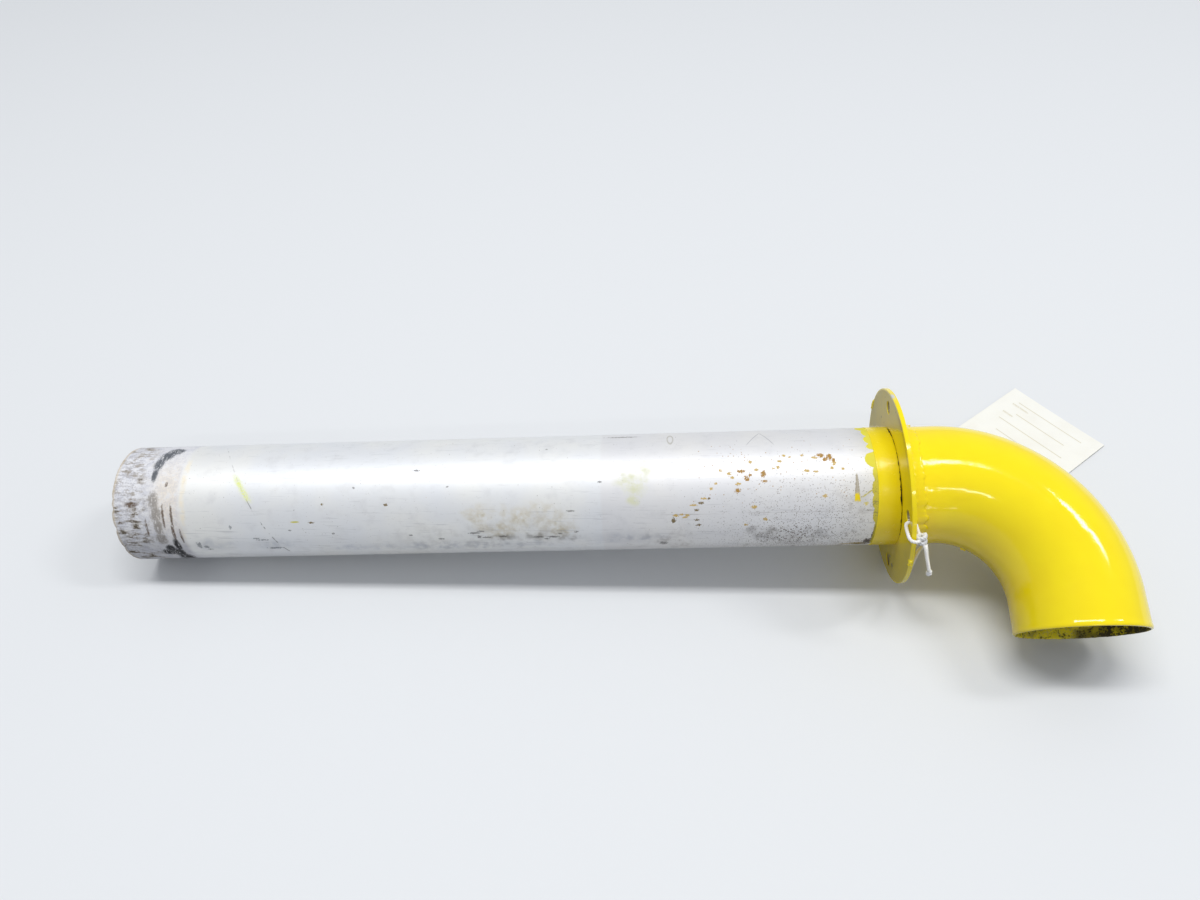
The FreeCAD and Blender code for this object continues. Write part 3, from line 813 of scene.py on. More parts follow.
@dataclass(frozen=True)
class RuledCard:
    """Off-white card with printed rules and small bare entry bars in place of words."""

    card: Colour = srgb(243, 242, 235)
    fleck: Colour = srgb(232, 228, 216)
    ink: Colour = srgb(196, 186, 150)
    rule_gap: float = 9.6
    rule_start: float = 9.0
    rule_count: int = 6
    side: float = 21.0

    def material(self, to_card: Matrix) -> Material:
        """Build the material.

        Args:
            to_card: Turns and moves a point of the row to the card's own frame, both in millimetres.

        Returns:
            The material.
        """
        shader = Shader("tag_card")
        along, across, up = shader.mapped(to_card.to_translation(), to_card.to_3x3())
        fibre = shader.noise(0.5)
        cloud = shader.noise(14.0)
        colour = shader.mix((fibre * 0.4 + cloud * 0.6).ease(0.4, 0.75) * 0.5, self.card, self.fleck)
        print_side = up.ease(0.15, 0.25)
        for index in range(self.rule_count):
            place = self.rule_start + index * self.rule_gap
            reach = self.side - (5.0 if index % 2 else 0.0)
            rule = (along - place).bell(0.22) * abs(across).ease(reach + 0.1, reach)
            colour = shader.mix(rule * print_side * 0.75, colour, self.ink)
        for place, start, end in ((12.4, -23.0, -12.0), (22.0, -23.0, -16.0)):
            bar = (along - place).bell(0.55) * across.ease(start, start + 0.3) * across.ease(end, end - 0.3)
            colour = shader.mix(bar * print_side * fibre.ease(0.3, 0.55) * 0.55, colour, self.ink)
        return shader.finish(colour, 0.75, shader.bump(fibre * 0.03 + cloud * 0.1, 0.6))


@dataclass(frozen=True)
class Fibreboard:
    """Pressed fibre of the reinforcing patch."""

    light: Colour = srgb(206, 178, 132)
    dark: Colour = srgb(168, 134, 88)

    def material(self) -> Material:
        """Build the material."""
        shader = Shader("patch_fibre")
        fibre = shader.noise(0.6, 5.0)
        colour = shader.mix(fibre.ease(0.35, 0.65), self.dark, self.light)
        return shader.finish(colour, 0.8, shader.bump(fibre * 0.08, 0.8))


def shown(name: str, data: ID) -> Object:
    """Make an object of some data and link it to the scene."""
    made = bpy.data.objects.new(name, data)
    bpy.context.scene.collection.objects.link(made)
    return made


def new_mesh(
    name: str, points: Iterable[Vector], faces: Sequence[Sequence[int]], *finishes: Material
) -> Mesh:
    """Make a smooth mesh with its materials."""
    mesh = bpy.data.meshes.new(name)
    mesh.from_pydata(points, [], faces)
    for material in finishes:
        mesh.materials.append(material)
    mesh.polygons.foreach_set("use_smooth", [True] * len(faces))
    return mesh


def ring_mesh(
    name: str,
    rings: Sequence[Sequence[Vector]],
    finishes: Sequence[Material],
    band_finish: Callable[[int], int] | None = None,
) -> Object:
    """Closed wall from rings of points, each joined to the next and the last to the first.

    Args:
        name: Name of the object.
        rings: Rings with the same number of points, in metres in the row's frame.
        finishes: The materials.
        band_finish: Gives the material's place for the band after each ring.

    Returns:
        The new object.
    """
    count = len(rings[0])
    faces, slots = [], []
    for row in range(len(rings)):
        below = row * count
        above = ((row + 1) % len(rings)) * count
        for column in range(count):
            after = (column + 1) % count
            faces.append((below + column, below + after, above + after, above + column))
            slots.append(band_finish(row) if band_finish else 0)
    made = shown(name, new_mesh(name, [point for ring in rings for point in ring], faces, *finishes))
    made.data.polygons.foreach_set("material_index", slots)
    outwards(made)
    return made


def outwards(made: Object) -> None:
    """Turn the faces of a closed mesh outwards by the sign of its volume."""
    mesh = made.data
    mesh.calc_loop_triangles()
    volume = sum(
        mesh.vertices[a].co.dot(mesh.vertices[b].co.cross(mesh.vertices[c].co))
        for a, b, c in (triangle.vertices for triangle in mesh.loop_triangles)
    )
    if volume < 0:
        mesh.flip_normals()


def ride(made: Object, slot: Slot, *nodes: str) -> Object:
    """Put a piece on the one body and hide the nodes that it replaces.

    Args:
        made: The piece.
        slot: Its material slot, which is not used.
        nodes: Nodes that it stands for.

    Returns:
        The piece.
    """
    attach(made, "root")
    if nodes:
        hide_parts(*nodes)
    LOG.info("piece %s with %d faces", made.name, len(made.data.polygons))
    return made


@dataclass
class StraightTube:
    """The long straight tube, with its clamped and nicked free end. Sizes in millimetres."""

    radius: float = 57.15 / 2
    wall: float = 0.89
    length: float = 376.0
    joint: float = PLATE.face + PLATE.thickness / 2
    worn_length: float = 30.0
    around: int = 240
    nick_width: float = 3.2
    rounding: float = 0.26
    steps: int = 70
    worn_steps: int = 34
    inside_step: int = 7
    nicks: tuple[tuple[float, float], ...] = (
        (22, 0.5), (105, 0.45), (115, 0.7), (135, 0.8), (159, 0.6), (231, 0.5), (312, 0.6),
    )

    def end(self, angle: float) -> float:
        """Where the wall ends at an angle: the square cut, its nicks and small chips."""
        place = polar(7.0, self.radius, angle)
        depth = 0.10 + 0.16 * wobble(place, 2.6) + 0.10 * wobble(place, 1.1)
        for turn, deep in self.nicks:
            apart = math.radians((angle - turn + 180) % 360 - 180) * self.radius
            depth += deep * bell(apart, self.nick_width / 2)
        return -self.length + max(0.0, depth)

    def swell(self, x: float, angle: float) -> float:
        """How far the wall stands off its true radius: handling dents, more at the free end."""
        place = polar(x, self.radius, angle)
        near_end = smooth_step(-x, self.length - self.worn_length, self.length)
        dents = (0.035 + 0.10 * near_end) * wobble(place, 22.0) + 0.03 * near_end * wobble(place, 4.0)
        return dents - 0.12 * bell(x + 342.5, 1.6)

    def rings(self) -> tuple[list[list[Vector]], int]:
        """Rings from the joint over the free end and back inside, and how many are outside."""
        start = -self.length + self.worn_length
        coarse = [self.joint - step * (self.joint - start) / self.steps for step in range(self.steps + 1)]

        def worn(share: float) -> Callable[[float], float]:
            """Line round the worn stretch, at a share of the way to its ragged end."""
            return lambda angle: start + (self.end(angle) + self.rounding - start) * share

        lines: list[tuple[Callable[[float], float], float]] = []
        lines += [(lambda angle, x=x: x, 0.0) for x in coarse]
        lines += [(worn(step / self.worn_steps), 0.0) for step in range(1, self.worn_steps + 1)]
        outside = len(lines)
        lines += [(self.end, depth * self.wall) for depth in (0.3, 0.7)]
        lines += [(worn(share), self.wall) for share in (1.0, 0.6, 0.3, 0.0)]
        inside = coarse[-1 - self.inside_step::-self.inside_step]
        lines += [(lambda angle, x=x: x, self.wall) for x in inside]
        angles = whole_turn(self.around)
        return [[self.point(line(a), a, depth) for a in angles] for line, depth in lines], outside

    def point(self, x: float, angle: float, depth: float) -> Vector:
        """Point at a distance along the tube, an angle and a depth in the wall."""
        return DUCT.around(x, self.radius - depth + self.swell(x, angle), angle)

    def build(self) -> Object:
        """Make the tube."""
        rings, outside = self.rings()
        finishes = [BareTube().material(), TubeInside().material()]
        made = ring_mesh("bare_tube", rings, finishes, lambda row: 0 if row < outside + 3 else 1)
        return ride(made, Slot.BARE_METAL, "vent_tube")


@dataclass(frozen=True)
class PaintRun:
    """A raised run or dimple in the paint: place along the duct, angle, reach and height."""

    along: float
    angle: float
    length: float
    round: float
    height: float


@dataclass
class Elbow:
    """The painted elbow with its trimmed mouth. Sizes in millimetres."""

    radius: float = 57.15 / 2
    wall: float = 1.24
    joint: float = PLATE.face + PLATE.thickness / 2
    entry: float = 21.6
    bend: float = 57.15
    exit: float = 16.0
    trim: float = 5.0
    around: int = 220
    steps: int = 92
    mouth_steps: int = 20
    rounding: float = 0.35
    runs: tuple[PaintRun, ...] = (
        PaintRun(94.1, 129, 0.6, 3.2, 0.13),
        PaintRun(93.6, 134, 0.6, 2.6, 0.10),
        PaintRun(82.2, 133, 0.5, 2.4, 0.10),
        PaintRun(72.8, 87, 1.6, 3.5, 0.06),
        PaintRun(88.8, 80, 1.6, 3.5, 0.06),
        PaintRun(28.0, 121, 5.0, 2.6, 0.07),
        PaintRun(33.0, 119, 0.7, 3.0, 0.10),
        PaintRun(36.0, 121, 0.7, 2.4, 0.09),
        PaintRun(14.5, 117, 2.0, 2.2, 0.06),
    )

    def centre(self, along: float) -> tuple[Vector, Vector]:
        """Centre of the duct and its outward side direction, at a distance along it."""
        turned = (along - self.entry) / self.bend
        if turned <= 0:
            return Vector((along, 0, 0)), Vector((0, 1, 0))
        turned = min(turned, math.pi / 2)
        side = Vector((math.sin(turned), math.cos(turned), 0))
        middle = Vector((self.entry, -self.bend, 0)) + side * self.bend
        past = max(0.0, along - self.entry - self.bend * math.pi / 2)
        return middle + Vector((0, -past, 0)), side

    def point(self, along: float, angle: float, radius: float) -> Vector:
        """Point of the duct's frame at a distance along the duct, an angle and a radius."""
        middle, side = self.centre(along)
        radians = math.radians(angle)
        return middle + (side * math.cos(radians) + Vector((0, 0, 1)) * math.sin(radians)) * radius

    def mouth(self, angle: float, radius: float) -> float:
        """Distance along the duct at which the trimmed mouth ends."""
        slant = math.tan(math.radians(self.trim)) * radius * math.sin(math.radians(angle))
        return self.entry + self.bend * math.pi / 2 + self.exit + slant

    def swell(self, along: float, angle: float) -> float:
        """How far the painted surface stands off its true radius."""
        place = self.point(along, angle, self.radius)
        height = 0.05 * wobble(place, 13.0) + 0.018 * wobble(place, 4.5)
        for run in self.runs:
            height += run.height * bell(along - run.along, run.length) * bell(angle - run.angle, run.round)
        from_mouth = self.mouth(angle, self.radius) - along
        return height + 0.20 * bell(from_mouth - 1.3, 0.9)

    def rings(self) -> tuple[list[list[Vector]], int]:
        """Rings from the joint over the mouth and back inside, and how many are outside."""
        straight = self.entry + self.bend * math.pi / 2
        plain = [
            self.joint + step * (straight - self.joint) / self.steps for step in range(self.steps + 1)
        ]
        angles = whole_turn(self.around)
        rings = [[self.skin(along, a) for a in angles] for along in plain]
        ends = [self.mouth(a, self.radius) - self.rounding + self.chips(a) for a in angles]
        for step in range(1, self.mouth_steps + 1):
            share = step / self.mouth_steps
            places = [straight + (end - straight) * share for end in ends]
            rings.append([self.skin(along, a) for along, a in zip(places, angles)])
        outside = len(rings)
        for depth, back in ((0.14, 0.10), (0.4, 0.0), (0.75, 0.0), (0.96, 0.12)):
            radius = self.radius - depth * self.wall
            rings.append([
                self.point(self.mouth(a, radius) - back + self.chips(a), a, radius) for a in angles
            ])
        inside = self.radius - self.wall
        for share in (0.97, 0.8, 0.6, 0.4, 0.2, 0.0):
            ring = []
            for angle in angles:
                along = straight + (self.mouth(angle, inside) - 0.4 - straight) * share
                crust = 0.12 * wobble(self.point(along, angle, inside), 2.4)
                ring.append(self.point(along, angle, inside + crust))
            rings.append(ring)
        rings += [[self.point(along, a, inside) for a in angles] for along in plain[-2::-3]]
        return [[DUCT.place(point) for point in ring] for ring in rings], outside

    def skin(self, along: float, angle: float) -> Vector:
        """Point of the painted surface."""
        return self.point(along, angle, self.radius + self.swell(along, angle))

    def chips(self, angle: float) -> float:
        """Small raggedness of the mouth's edge, more at its lower lip."""
        place = polar(90.0, self.radius, angle)
        lower = smooth_step(-math.sin(math.radians(angle)), 0.0, 0.8)
        rough = 0.03 + 0.16 * lower
        return rough * (wobble(place, 3.0) + 0.6 * wobble(place, 1.2))

    def build(self) -> Object:
        """Make the elbow."""
        rings, outside = self.rings()
        finishes = [YellowGloss().material(), ElbowInside().material()]
        made = ring_mesh("painted_elbow", rings, finishes, lambda row: 0 if row < outside + 2 else 1)
        return ride(made, Slot.YELLOW_PAINT, "elbow")


@dataclass
class Flange:
    """Paint, wear, painted reflection and painted shade on the round mounting flange, whose solid keeps its
    own shape.
    """

    node: str = "mounting_flange"

    def dress(self) -> Object:
        """Give the flange its finish."""
        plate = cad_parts[self.node]
        plate.data.materials.clear()
        plate.data.materials.append(YellowGloss(dull_face=True).material())
        LOG.info("dressed %s", plate.name)
        return plate


@dataclass
class TreeBuilder(NodeMaker):
    """Builds a Geometry Nodes tree with named inputs."""

    name: str
    tree: NodeTree = field(init=False)
    source: Node = field(init=False)
    result: Node = field(init=False)
    sockets: dict[str, str] = field(init=False, default_factory=dict)

    def __post_init__(self) -> None:
        """Start the tree with its geometry sockets."""
        self.tree = bpy.data.node_groups.new(self.name, "GeometryNodeTree")
        self.tree.interface.new_socket(name="Geometry", in_out="INPUT", socket_type="NodeSocketGeometry")
        self.tree.interface.new_socket(name="Geometry", in_out="OUTPUT", socket_type="NodeSocketGeometry")
        self.source = self.tree.nodes.new("NodeGroupInput")
        self.result = self.tree.nodes.new("NodeGroupOutput")

    def size(self, name: str, kind: str = "NodeSocketFloat") -> NodeSocket:
        """Add a named input and give its socket."""
        made = self.tree.interface.new_socket(name=name, in_out="INPUT", socket_type=kind)
        self.sockets[name] = made.identifier
        return self.source.outputs[name]

    def sum(self, operation: str, *values: Union[NodeSocket, float]) -> NodeSocket:
        """Add a Math node and give its result."""
        return self.node("ShaderNodeMath", dict(enumerate(values)), operation=operation).outputs[0]

    def vector(self, operation: str, inputs: dict) -> NodeSocket:
        """Add a Vector Math node and give its result."""
        return self.node("ShaderNodeVectorMath", inputs, operation=operation).outputs[0]

    def moved(self, geometry: Node, turn: Matrix, shift: Sequence[float] = (0, 0, 0)) -> Node:
        """Turn and then move the geometry that a node gives."""
        inputs = {
            0: geometry.outputs[0],
            "Translation": tuple(shift),
            "Rotation": tuple(turn.to_euler("XYZ")),
        }
        return self.node("GeometryNodeTransform", inputs)

    def close(self, geometry: NodeSocket, material: Material) -> None:
        """End the tree in real meshes with one material."""
        real = self.node("GeometryNodeRealizeInstances", {0: geometry})
        dressed = self.node("GeometryNodeSetMaterial", {0: real.outputs[0], "Material": material})
        self.tree.links.new(dressed.outputs[0], self.result.inputs[0])

    def apply(self, made: Object, values: dict[str, float], name: str) -> Object:
        """Run the tree on an object and keep its result as a plain mesh.

        Args:
            made: The object that it starts from, which is removed.
            values: The named inputs.
            name: Name of the new object.

        Returns:
            The new object.
        """
        modifier = made.modifiers.new(self.name, "NODES")
        modifier.node_group = self.tree
        for key, value in values.items():
            modifier[self.sockets[key]] = value
        mesh = plain_mesh(made, remove=True)
        mesh.name = name
        mesh.polygons.foreach_set("use_smooth", [True] * len(mesh.polygons))
        return shown(name, mesh)


def plain_mesh(made: Object, remove: bool = False) -> Mesh:
    """Mesh of an object as its modifiers leave it. The object can be removed."""
    bpy.context.view_layer.update()
    graph = bpy.context.evaluated_depsgraph_get()
    mesh = bpy.data.meshes.new_from_object(made.evaluated_get(graph))
    if remove:
        made.modifiers.clear()
        bpy.data.objects.remove(made)
    return mesh


@dataclass
class WeldBead:
    """Weld between the flange and the elbow, under the paint: a rippled bead and its low toe."""

    seat: float = 57.15 / 2
    along: float = 4.6
    up: float = 4.0
    ripple: float = 2.8
    ripples: int = 60
    toe_along: float = 9.4
    toe_up: float = 1.0
    toe_ripple: float = 4.4
    skin: float = 0.36
    seated: float = 0.6

    def tree(self, material: Material) -> TreeBuilder:
        """Tree that sets one ripple after another round the duct."""
        tree = TreeBuilder("weld_ripples")
        seat = tree.size("Seat Radius")
        count = tree.size("Ripples", "NodeSocketInt")
        along, up = tree.size("Leg Along Duct"), tree.size("Leg Up Flange")
        half, jitter = tree.size("Ripple Half Length"), tree.size("Jitter")
        seed = tree.size("Seed", "NodeSocketInt")
        circle = tree.node("GeometryNodeMeshCircle", {"Vertices": count, "Radius": seat}, fill_type="NONE")
        ball = tree.node("GeometryNodeMeshUVSphere", {"Segments": 20, "Rings": 12, "Radius": 1.0})
        index = tree.node("GeometryNodeInputIndex").outputs[0]
        step = tree.sum("DIVIDE", 2 * math.pi, count)
        draw = {"Min": -1.0, "Max": 1.0, "ID": index, "Seed": seed}
        spread = tree.node("FunctionNodeRandomValue", draw, data_type="FLOAT").outputs[1]
        wander = tree.sum("ADD", 1.0, tree.sum("MULTIPLY", spread, jitter))
        turn = tree.node("ShaderNodeCombineXYZ", {2: tree.sum("MULTIPLY", index, step)})
        sizes = {0: tree.sum("MULTIPLY", up, wander), 1: half, 2: tree.sum("MULTIPLY", along, wander)}
        scale = tree.node("ShaderNodeCombineXYZ", sizes)
        inputs = {"Points": circle, "Instance": ball, "Rotation": turn, "Scale": scale}
        inputs = {key: made.outputs[0] for key, made in inputs.items()}
        instances = tree.node("GeometryNodeInstanceOnPoints", inputs)
        laid = tree.moved(instances, Matrix.Rotation(math.radians(90), 3, "Y"))
        back = DUCT.place((PLATE.face + PLATE.thickness, 0, 0))
        turned = tree.moved(laid, DUCT.turn() @ PLATE.turn(), back)
        tree.close(turned.outputs[0], material)
        return tree

    def build(self) -> Object:
        """Make the bead, with its ripples run together as paint does."""
        paint = YellowGloss().material()
        rows = [
            self.row(paint, (self.up, self.ripple, self.along), 0.12, "weld_bead_row"),
            self.row(paint, (self.toe_up, self.toe_ripple, self.toe_along), 0.14, "weld_toe_row"),
        ]
        rippled = join(rows, "weld_rippled")
        remesh = rippled.modifiers.new("skin", "REMESH")
        remesh.mode = "VOXEL"
        remesh.voxel_size = self.skin * MM
        remesh.use_smooth_shade = True
        soften = rippled.modifiers.new("soften", "SMOOTH")
        soften.factor = 0.5
        soften.iterations = 2
        mesh = plain_mesh(rippled, remove=True)
        mesh.materials.clear()
        mesh.materials.append(paint)
        self.trim(mesh)
        return ride(shown("painted_weld", mesh), Slot.YELLOW_PAINT, "flange_weld")

    def row(
        self, paint: Material, size: tuple[float, float, float], jitter: float, name: str
    ) -> Object:
        """Make one row of ripples.

        Args:
            paint: Its material.
            size: How far a ripple stands up, half its length round the duct, its reach along it.
            jitter: How much their sizes differ, as a share.
            name: Name for the row.

        Returns:
            The row as a plain mesh.
        """
        start = shown("weld_start", bpy.data.meshes.new("weld_start"))
        values = {
            "Seat Radius": self.seat * MM,
            "Ripples": self.ripples,
            "Leg Up Flange": size[0] * MM,
            "Ripple Half Length": size[1] * MM,
            "Leg Along Duct": size[2] * MM,
            "Jitter": jitter,
            "Seed": SEED,
        }
        return self.tree(paint).apply(start, values, name)

    def trim(self, mesh: Mesh) -> None:
        """Cut off the half of the ripples that reaches past the flange to the tube's side."""
        shape = bmesh.new()
        shape.from_mesh(mesh)
        within = PLATE.face + PLATE.thickness * self.seated
        cut = bmesh.ops.bisect_plane(
            shape,
            geom=shape.verts[:] + shape.edges[:] + shape.faces[:],
            plane_co=DUCT.place((within, 0, 0)),
            plane_no=DUCT.turn() @ PLATE.turn() @ Vector((1, 0, 0)),
            clear_inner=True,
        )
        edges = [piece for piece in cut["geom_cut"] if isinstance(piece, bmesh.types.BMEdge)]
        bmesh.ops.holes_fill(shape, edges=edges)
        shape.to_mesh(mesh)
        shape.free()


@dataclass
class PaintCollar:
    """Brushed coat on the tube beside the flange, with a ridge where it was masked."""

    radius: float = 57.15 / 2
    ridge: float = -10.05
    sink: float = 0.12
    around: int = 300
    profile: tuple[tuple[float, float], ...] = (
        (0.00, 0.02), (-0.05, 0.10), (0.06, 0.21), (0.28, 0.27), (0.60, 0.24), (1.20, 0.19), (2.40, 0.16),
    )

    def edge(self, angle: float) -> float:
        """Where the masked ridge runs at an angle."""
        place = polar(3.0, self.radius, angle)
        slant = -0.45 * (1 - smooth_step(angle, 70, 110)) * smooth_step(angle, -40, 20)
        return self.ridge + slant + 0.10 * wobble(place, 4.0) + 0.25 * wobble(place, 16.0)

    def crack(self, angle: float) -> float:
        """Width of the gap that has cracked open beside the flange."""
        place = polar(9.0, self.radius, angle)
        opened = smooth_step(angle, 30, 38) * smooth_step(-angle, -170, -160)
        jag = abs(wobble(place, 1.1)) * 0.55 + max(0.0, wobble(place, 2.8)) * 0.6
        wide = 0.34 * bell(angle - 117, 12) + 0.25 * bell(angle - 50, 9)
        return opened * max(0.0, jag + wide - 0.10)

    def end(self, angle: float) -> float:
        """Where the coat ends beside the leaning flange at an angle."""
        return PLATE.near(self.radius, angle) - self.crack(angle)

    def build(self) -> Object:
        """Make the collar."""
        angles = whole_turn(self.around)
        rings = [[DUCT.around(self.edge(a) + 0.05, self.radius - self.sink, a) for a in angles]]
        for offset, height in self.profile:
            tops = [self.radius + height * self.build_up(a) for a in angles]
            rings.append([DUCT.around(self.edge(a) + offset, top, a) for a, top in zip(angles, tops)])
        for share in (0.35, 0.5, 0.65, 0.8, 0.92):
            ring = []
            for angle in angles:
                x = self.edge(angle) + (self.end(angle) - self.edge(angle)) * share
                height = 0.16 + 0.05 * wobble(polar(x, 20.0, angle), 4.0)
                ring.append(DUCT.around(x, self.radius + height, angle))
            rings.append(ring)
        for back, height in ((0.45, 0.18), (0.12, 0.22), (0.0, 0.1), (0.0, -self.sink)):
            rings.append([DUCT.around(self.end(a) - back, self.radius + height, a) for a in angles])
        made = ring_mesh("paint_collar", rings, [YellowGloss(roughness=0.24).material()])
        return ride(made, Slot.YELLOW_PAINT)

    def build_up(self, angle: float) -> float:
        """How much paint stands in the ridge at an angle."""
        return 0.95 + 0.25 * wobble(polar(6.0, self.radius, angle), 6.0)


@dataclass(frozen=True)
class Drop:
    """A dried drop of paint: its place in the duct's frame and its three half sizes."""

    place: Vector
    sizes: tuple[float, float, float]


@dataclass
class PaintDrops:
    """Drops left by the brush on the flange's rim and under the elbow."""

    elbow: Elbow
    rows: int = 14
    columns: int = 20
    uneven: float = 0.22

    def drops(self) -> list[Drop]:
        """Where the drops are."""
        found = []
        for angle, size in ((-11, 1.1), (-8.6, 1.9), (-6.2, 1.5), (-3.6, 0.9), (157, 1.3), (160, 0.9)):
            reach = PLATE.radius - 0.4
            place = polar(PLATE.near(reach, angle) + 0.5, reach, angle)
            found.append(Drop(place, (1.0, size, size)))
        for along, angle, size in ((47.0, 198, 0.9), (49.6, 199, 0.7)):
            place = self.elbow.point(along, angle, self.elbow.radius - 0.1)
            found.append(Drop(place, (size, size, 0.8)))
        return found

    def build(self) -> Object:
        """Make the drops as one piece."""
        points: list[Vector] = []
        faces: list[tuple[int, ...]] = []
        rows, columns = self.rows, self.columns
        for number, drop in enumerate(self.drops()):
            start = len(points)
            for row in range(1, rows):
                down = math.pi * row / rows
                for column in range(columns):
                    turn = 2 * math.pi * column / columns
                    way = Vector((math.cos(turn), math.sin(turn), 0)) * math.sin(down)
                    way.z = math.cos(down)
                    uneven = 1 + self.uneven * noise.noise(way * 1.7 + Vector((number * 5.0, 0, 0)))
                    sized = Vector([way[axis] * drop.sizes[axis] * uneven for axis in range(3)])
                    points.append(DUCT.place(drop.place + sized))
            for row in range(rows - 2):
                for column in range(columns):
                    after = (column + 1) % columns
                    one = start + row * columns
                    two = one + columns
                    faces.append((one + column, two + column, two + after, one + after))
            faces.append(tuple(start + column for column in range(columns)))
            last = start + (rows - 2) * columns
            faces.append(tuple(last + column for column in reversed(range(columns))))
        made = shown("paint_drops", new_mesh("paint_drops", points, faces, YellowGloss().material()))
        outwards(made)
        return ride(made, Slot.YELLOW_PAINT)


# The string's routes at rest, in metres from the flange's foot, as the solids have them.
STRING_ROUTE = (
    (0.0006, -0.0366, 0.06475), (0.0029, -0.0366, 0.06475), (0.0033, -0.0400, 0.0639),
    (0.0043, -0.0434, 0.0620), (0.0049, -0.042, 0.057), (0.0059, -0.0378, 0.0495),
    (0.007, -0.0352, 0.039), (0.0081, -0.0328, 0.0285), (0.0096, -0.0286, 0.0175),
    (0.0126, -0.0224, 0.0082), (0.017, -0.0142, 0.0022), (0.0226, -0.0046, 0.0008),
    (0.0272, 0.0054, 0.0007), (0.0328, 0.0158, 0.0007), (0.0382, 0.0226, 0.0007),
    (0.0426, 0.0265, 0.0007), (0.0423, 0.0266, 0.0054), (0.0378, 0.0214, 0.0052),
    (0.0336, 0.0154, 0.0034), (0.0298, 0.0074, 0.0015), (0.026, -0.0016, 0.0008),
    (0.0222, -0.011, 0.002), (0.0178, -0.0196, 0.0066), (0.0136, -0.0272, 0.015),
    (0.0106, -0.033, 0.026), (0.0089, -0.0366, 0.0375), (0.0076, -0.0396, 0.048),
    (0.0069, -0.0429, 0.0552), (0.0066, -0.0442, 0.0592), (0.0066, -0.0457, 0.0607),
    (0.0069, -0.0472, 0.0588), (0.0075, -0.0482, 0.056), (0.0085, -0.0499, 0.0526),
    (0.0097, -0.0516, 0.0484),
)
END_ROUTE = (
    (0.0006, -0.0366, 0.06475), (-0.0017, -0.0366, 0.06475), (-0.0018, -0.0418, 0.0646),
    (-0.0014, -0.0462, 0.0641), (0.0012, -0.0470, 0.0636), (0.0034, -0.0457, 0.0630),
    (0.0041, -0.0450, 0.0619), (0.0058, -0.0466, 0.0606), (0.0064, -0.0480, 0.0592),
    (0.0070, -0.0490, 0.0566), (0.0080, -0.0507, 0.0535), (0.0089, -0.0521, 0.0504),
)


